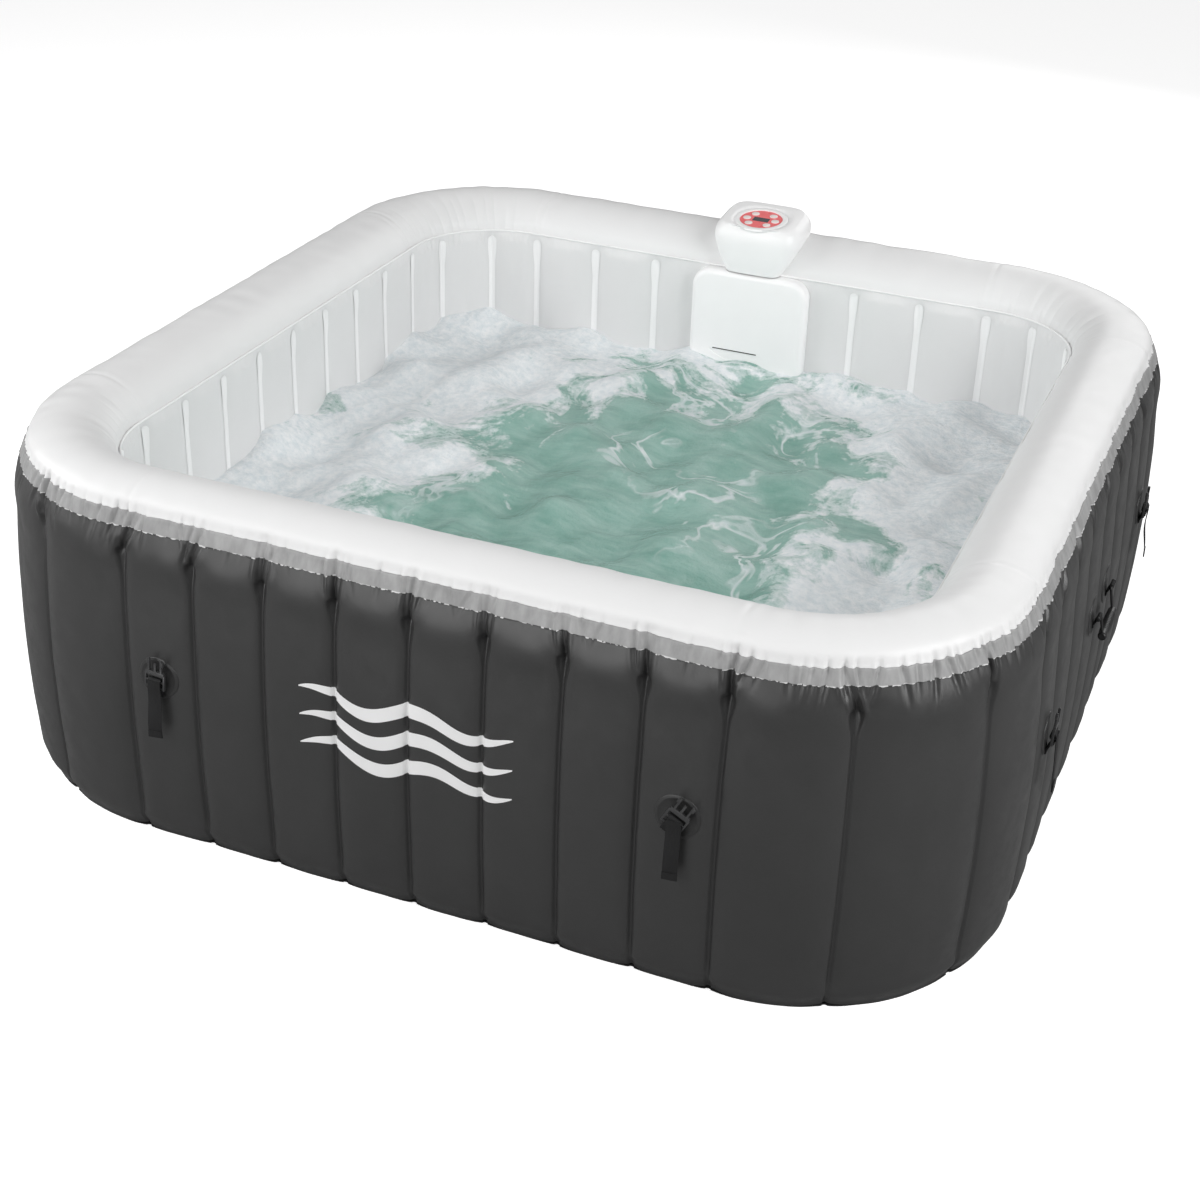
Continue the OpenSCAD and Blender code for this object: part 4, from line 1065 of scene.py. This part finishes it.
PANEL_FRONT = 0.702  # depths of the inner panel's front face and of its open back
PANEL_BACK = 0.7295
PANEL_EDGE = 0.012  # radius of the rounded edge round its front face
PANEL_SHELL = 0.003
FILTER_AT = (-0.058, 0.232)
FILTER_R = 0.057
OUTLET_AT = (0.072, 0.150)
OUTLET_R = 0.021
LEVEL_Z = 0.398  # the highest water level, marked on the inner panel


def build_inner_panel():
    """Moulded pool-side panel with soft edges, and openings for the filter and the outlet."""
    low, high = PANEL_BOX
    middle = np.array([0.0, (low.z + high.z) / 2])
    half_w = high.x
    half_h = (high.z - low.z) / 2

    def ring(inset, corner, y):
        return at_depth(rounded_outline(half_w - inset, half_h - inset, corner) + middle, y)

    outer = [ring(0, 0.040, PANEL_BACK)]
    for a in np.linspace(0, math.pi / 2, 9):
        inset = PANEL_EDGE * (1 - math.cos(a))
        outer.append(ring(inset, 0.040 - inset * 0.6, PANEL_FRONT + PANEL_EDGE * (1 - math.sin(a))))
    panel = Builder(np.stack(outer, 0)).build("pool_panel")
    hollow = [ring(PANEL_EDGE + PANEL_SHELL, 0.032, PANEL_FRONT + PANEL_SHELL),
              ring(PANEL_SHELL, 0.036, PANEL_FRONT + PANEL_SHELL + PANEL_EDGE),
              ring(PANEL_SHELL, 0.036, PANEL_BACK + 0.002)]
    arc = np.linspace(-1, 1, 40)
    scoop = np.column_stack([-0.024 + 0.062 * arc, LEVEL_Z - 0.004 - 0.022 * (1 - arc**2)])
    scoop = np.concatenate([scoop, [(0.038, LEVEL_Z - 0.003), (-0.086, LEVEL_Z - 0.003)]])
    before = PANEL_FRONT - 0.01
    through = PANEL_FRONT + 0.01
    cut(panel, [Builder(np.stack(hollow, 0)).build("hollow"),
                prism("filter_hole", circle_outline(FILTER_AT, FILTER_R, full_turn(64)), before, through),
                prism("outlet_hole", circle_outline(OUTLET_AT, OUTLET_R, full_turn(64)), before, through),
                prism("scoop", scoop, before, PANEL_FRONT + 0.0018)])
    panel.data.set_sharp_from_angle(angle=math.radians(40))
    finish_white(panel, "inner_panel")


def build_panel_details():
    """Grille in the water outlet, and the level mark."""
    grille = Builder()
    ring = circle_outline(OUTLET_AT, OUTLET_R + 0.0025, np.linspace(0, 2 * math.pi, 49))
    grille.add(tube(at_depth(ring, PANEL_FRONT - 0.0005), 0.0030, 12), caps=False)
    middle = np.array([OUTLET_AT[0], PANEL_FRONT, OUTLET_AT[1]])
    for a in np.radians([0, 45, 90, 135]):
        reach = (OUTLET_R + 0.001) * np.array([math.cos(a), 0, math.sin(a)])
        grille.add(tube([middle - reach, middle + reach], 0.0012, 8))
    finish_white(grille.build("outlet_grille"))
    thin = 0.0012
    line = [(-0.075, -thin), (0.028, -thin), (0.028, thin), (-0.075, thin)]
    mark = prism("level_mark", np.array(line) + (0, LEVEL_Z), PANEL_FRONT - 0.0004, PANEL_FRONT + 0.0004)
    finish_piece(mark, patch_pvc)


build_patches()
for number in range(1, 9):
    build_strap(number)
build_handle("handle_left")
build_handle("handle_right")
build_head()
build_saddle()
build_inner_panel()
build_panel_details()


# --- Carried-over CAD nodes ---

def paint(material, *names):
    """Gives CAD nodes a material, with their curved faces smooth."""
    for name in names:
        node = NODES[name]
        node.data.materials.clear()
        node.data.materials.append(material)
        node.data.polygons.foreach_set("use_smooth", np.ones(len(node.data.polygons), bool))
        node.data.set_sharp_from_angle(angle=math.radians(32))


def ease_edges(width, *names):
    """Rounds the hard edges of moulded CAD nodes, whose meshes are split at their edges."""
    for name in names:
        node = NODES[name]
        weld = node.modifiers.new("weld", "WELD")
        weld.merge_threshold = 0.00002
        bevel = node.modifiers.new("eased edges", "BEVEL")
        bevel.width = width
        bevel.segments = 2
        bevel.limit_method = "ANGLE"
        bevel.angle_limit = math.radians(40)
        bevel.harden_normals = True


buckles = [f"buckle_{i}" for i in range(1, 9)]
buttons = [f"button_{n}" for n in ("heat", "filter", "bubbles", "up", "down", "timer")]
paint(white_plastic, "unit_case", "panel_bezel", "filter_cap", "drain_plug")
paint(black_plastic, "air_valve_body", "air_valve_cap", "drain_fitting", "drain_cap", "power_plug")
paint(weld_pvc, "bubble_channel")
paint(liner_pvc, "unit_sleeve")
paint(moulded_material("buckle_plastic", (0.045, 0.045, 0.046), 0.30, bump=0.015), *buckles)
paint(moulded_material("cover_plastic", (0.040, 0.041, 0.043), 0.50, bump=0.30, texture=1400.0), "rear_cover")
paint(moulded_material("panel_red", (0.90, 0.17, 0.18), 0.30, bump=0.02), "panel_overlay")
paint(moulded_material("display_grey", (0.075, 0.080, 0.088), 0.15, bump=0.0), "display_window")
paint(moulded_material("button_white", (0.88, 0.80, 0.78), 0.32), *buttons)
paint(moulded_material("board_green", (0.02, 0.12, 0.05), 0.45), "control_board")
steel = moulded_material("steel", (0.55, 0.55, 0.56), 0.25)
steel.node_tree.nodes["Principled BSDF"].inputs["Metallic"].default_value = 1.0
paint(steel, "cover_screws", "heater_tube")
paint(moulded_material("motor_black", (0.05, 0.05, 0.055), 0.5, bump=0.2), "circulation_pump", "air_blower")
paint(moulded_material("impeller_grey", (0.60, 0.60, 0.58), 0.45), "pump_impeller", "blower_impeller")
paint(moulded_material("filter_paper", (0.78, 0.84, 0.90), 0.85, bump=0.4), "filter_cartridge")
paint(moulded_material("hose_rubber", (0.07, 0.075, 0.08), 0.45), "internal_hoses", "power_cord")
paint(moulded_material("test_red", (0.45, 0.03, 0.02), 0.35), "plug_test_button")
ease_edges(0.0005, *buckles)
ease_edges(0.0006, "air_valve_cap", "drain_cap", "power_plug", "filter_cap", "panel_bezel", *buttons)


# --- Stage: floor, light and camera ---

FLOOR_HALF = 12.0
FLOOR_GLOW = 0.62  # the camera sees the floor brighter than the tub does
LAMPS = (("key", (-1.4, -2.8, 2.8), 2.2, 20),  # name, place, size and watts
         ("front", (-1.0, -4.0, 1.7), 3.0, 50),
         ("right", (3.8, -1.2, 2.5), 3.0, 125),
         ("left", (-3.9, -1.4, 2.3), 3.0, 90),
         ("back", (0.9, 4.0, 2.2), 3.0, 48))
LAMP_AIM = Vector((0, 0, 0.3))
CAMERA_AT = Vector((1.238, -3.214, 2.059))
CAMERA_AIM = Vector((-0.0055, -0.0976, 0.1718))
CAMERA_ROLL = math.radians(1.96)
CAMERA_LENS = 59.1  # focal length and sensor width in mm
CAMERA_SENSOR = 36.0


def stand_at(name, data, at, aim, roll=0.0):
    """Puts a lamp or camera at a place and points it at another."""
    holder = bpy.data.objects.new(name, data)
    turn = (aim - at).to_track_quat("-Z", "Y").to_matrix() @ Matrix.Rotation(roll, 3, "Z")
    holder.matrix_world = Matrix.Translation(at) @ turn.to_4x4()
    bpy.context.scene.collection.objects.link(holder)
    return holder


def build_stage():
    line = np.linspace(-FLOOR_HALF, FLOOR_HALF, 3)
    x, y = np.meshgrid(line, line, indexing="ij")
    floor = grid_mesh("floor", np.stack([x, y, 0 * x], -1))
    n = Nodes("pale_floor")
    seen = n.node("LightPath").outputs["Is Camera Ray"]
    n.set(Base_Color=n.mix(seen, grey(0.30), grey(0.93)), Roughness=0.9, Emission_Color=grey(1.0))
    n.set(Emission_Strength=n.math("MULTIPLY", seen, FLOOR_GLOW))
    floor.data.materials.append(n.material)


def build_light():
    world = bpy.data.worlds.new("studio")
    bpy.context.scene.world = world
    world.use_nodes = True
    tree = world.node_tree
    background = tree.nodes["Background"]
    background.inputs["Color"].default_value = grey(1.0)
    path = tree.nodes.new("ShaderNodeLightPath")
    level = tree.nodes.new("ShaderNodeMapRange")
    level.inputs["To Min"].default_value = 0.25  # what lights the tub
    level.inputs["To Max"].default_value = 1.0  # what the camera sees
    tree.links.new(path.outputs["Is Camera Ray"], level.inputs["Value"])
    tree.links.new(level.outputs[0], background.inputs["Strength"])
    for name, at, size, power in LAMPS:
        lamp = bpy.data.lights.new(name, "AREA")
        lamp.size = size
        lamp.energy = power
        stand_at(name, lamp, Vector(at), LAMP_AIM)


def build_camera():
    lens = bpy.data.cameras.new("camera")
    lens.lens = CAMERA_LENS
    lens.sensor_width = CAMERA_SENSOR
    bpy.context.scene.camera = stand_at("camera", lens, CAMERA_AT, CAMERA_AIM, CAMERA_ROLL)


build_stage()
build_light()
build_camera()
bpy.context.scene.view_settings.view_transform = "Standard"
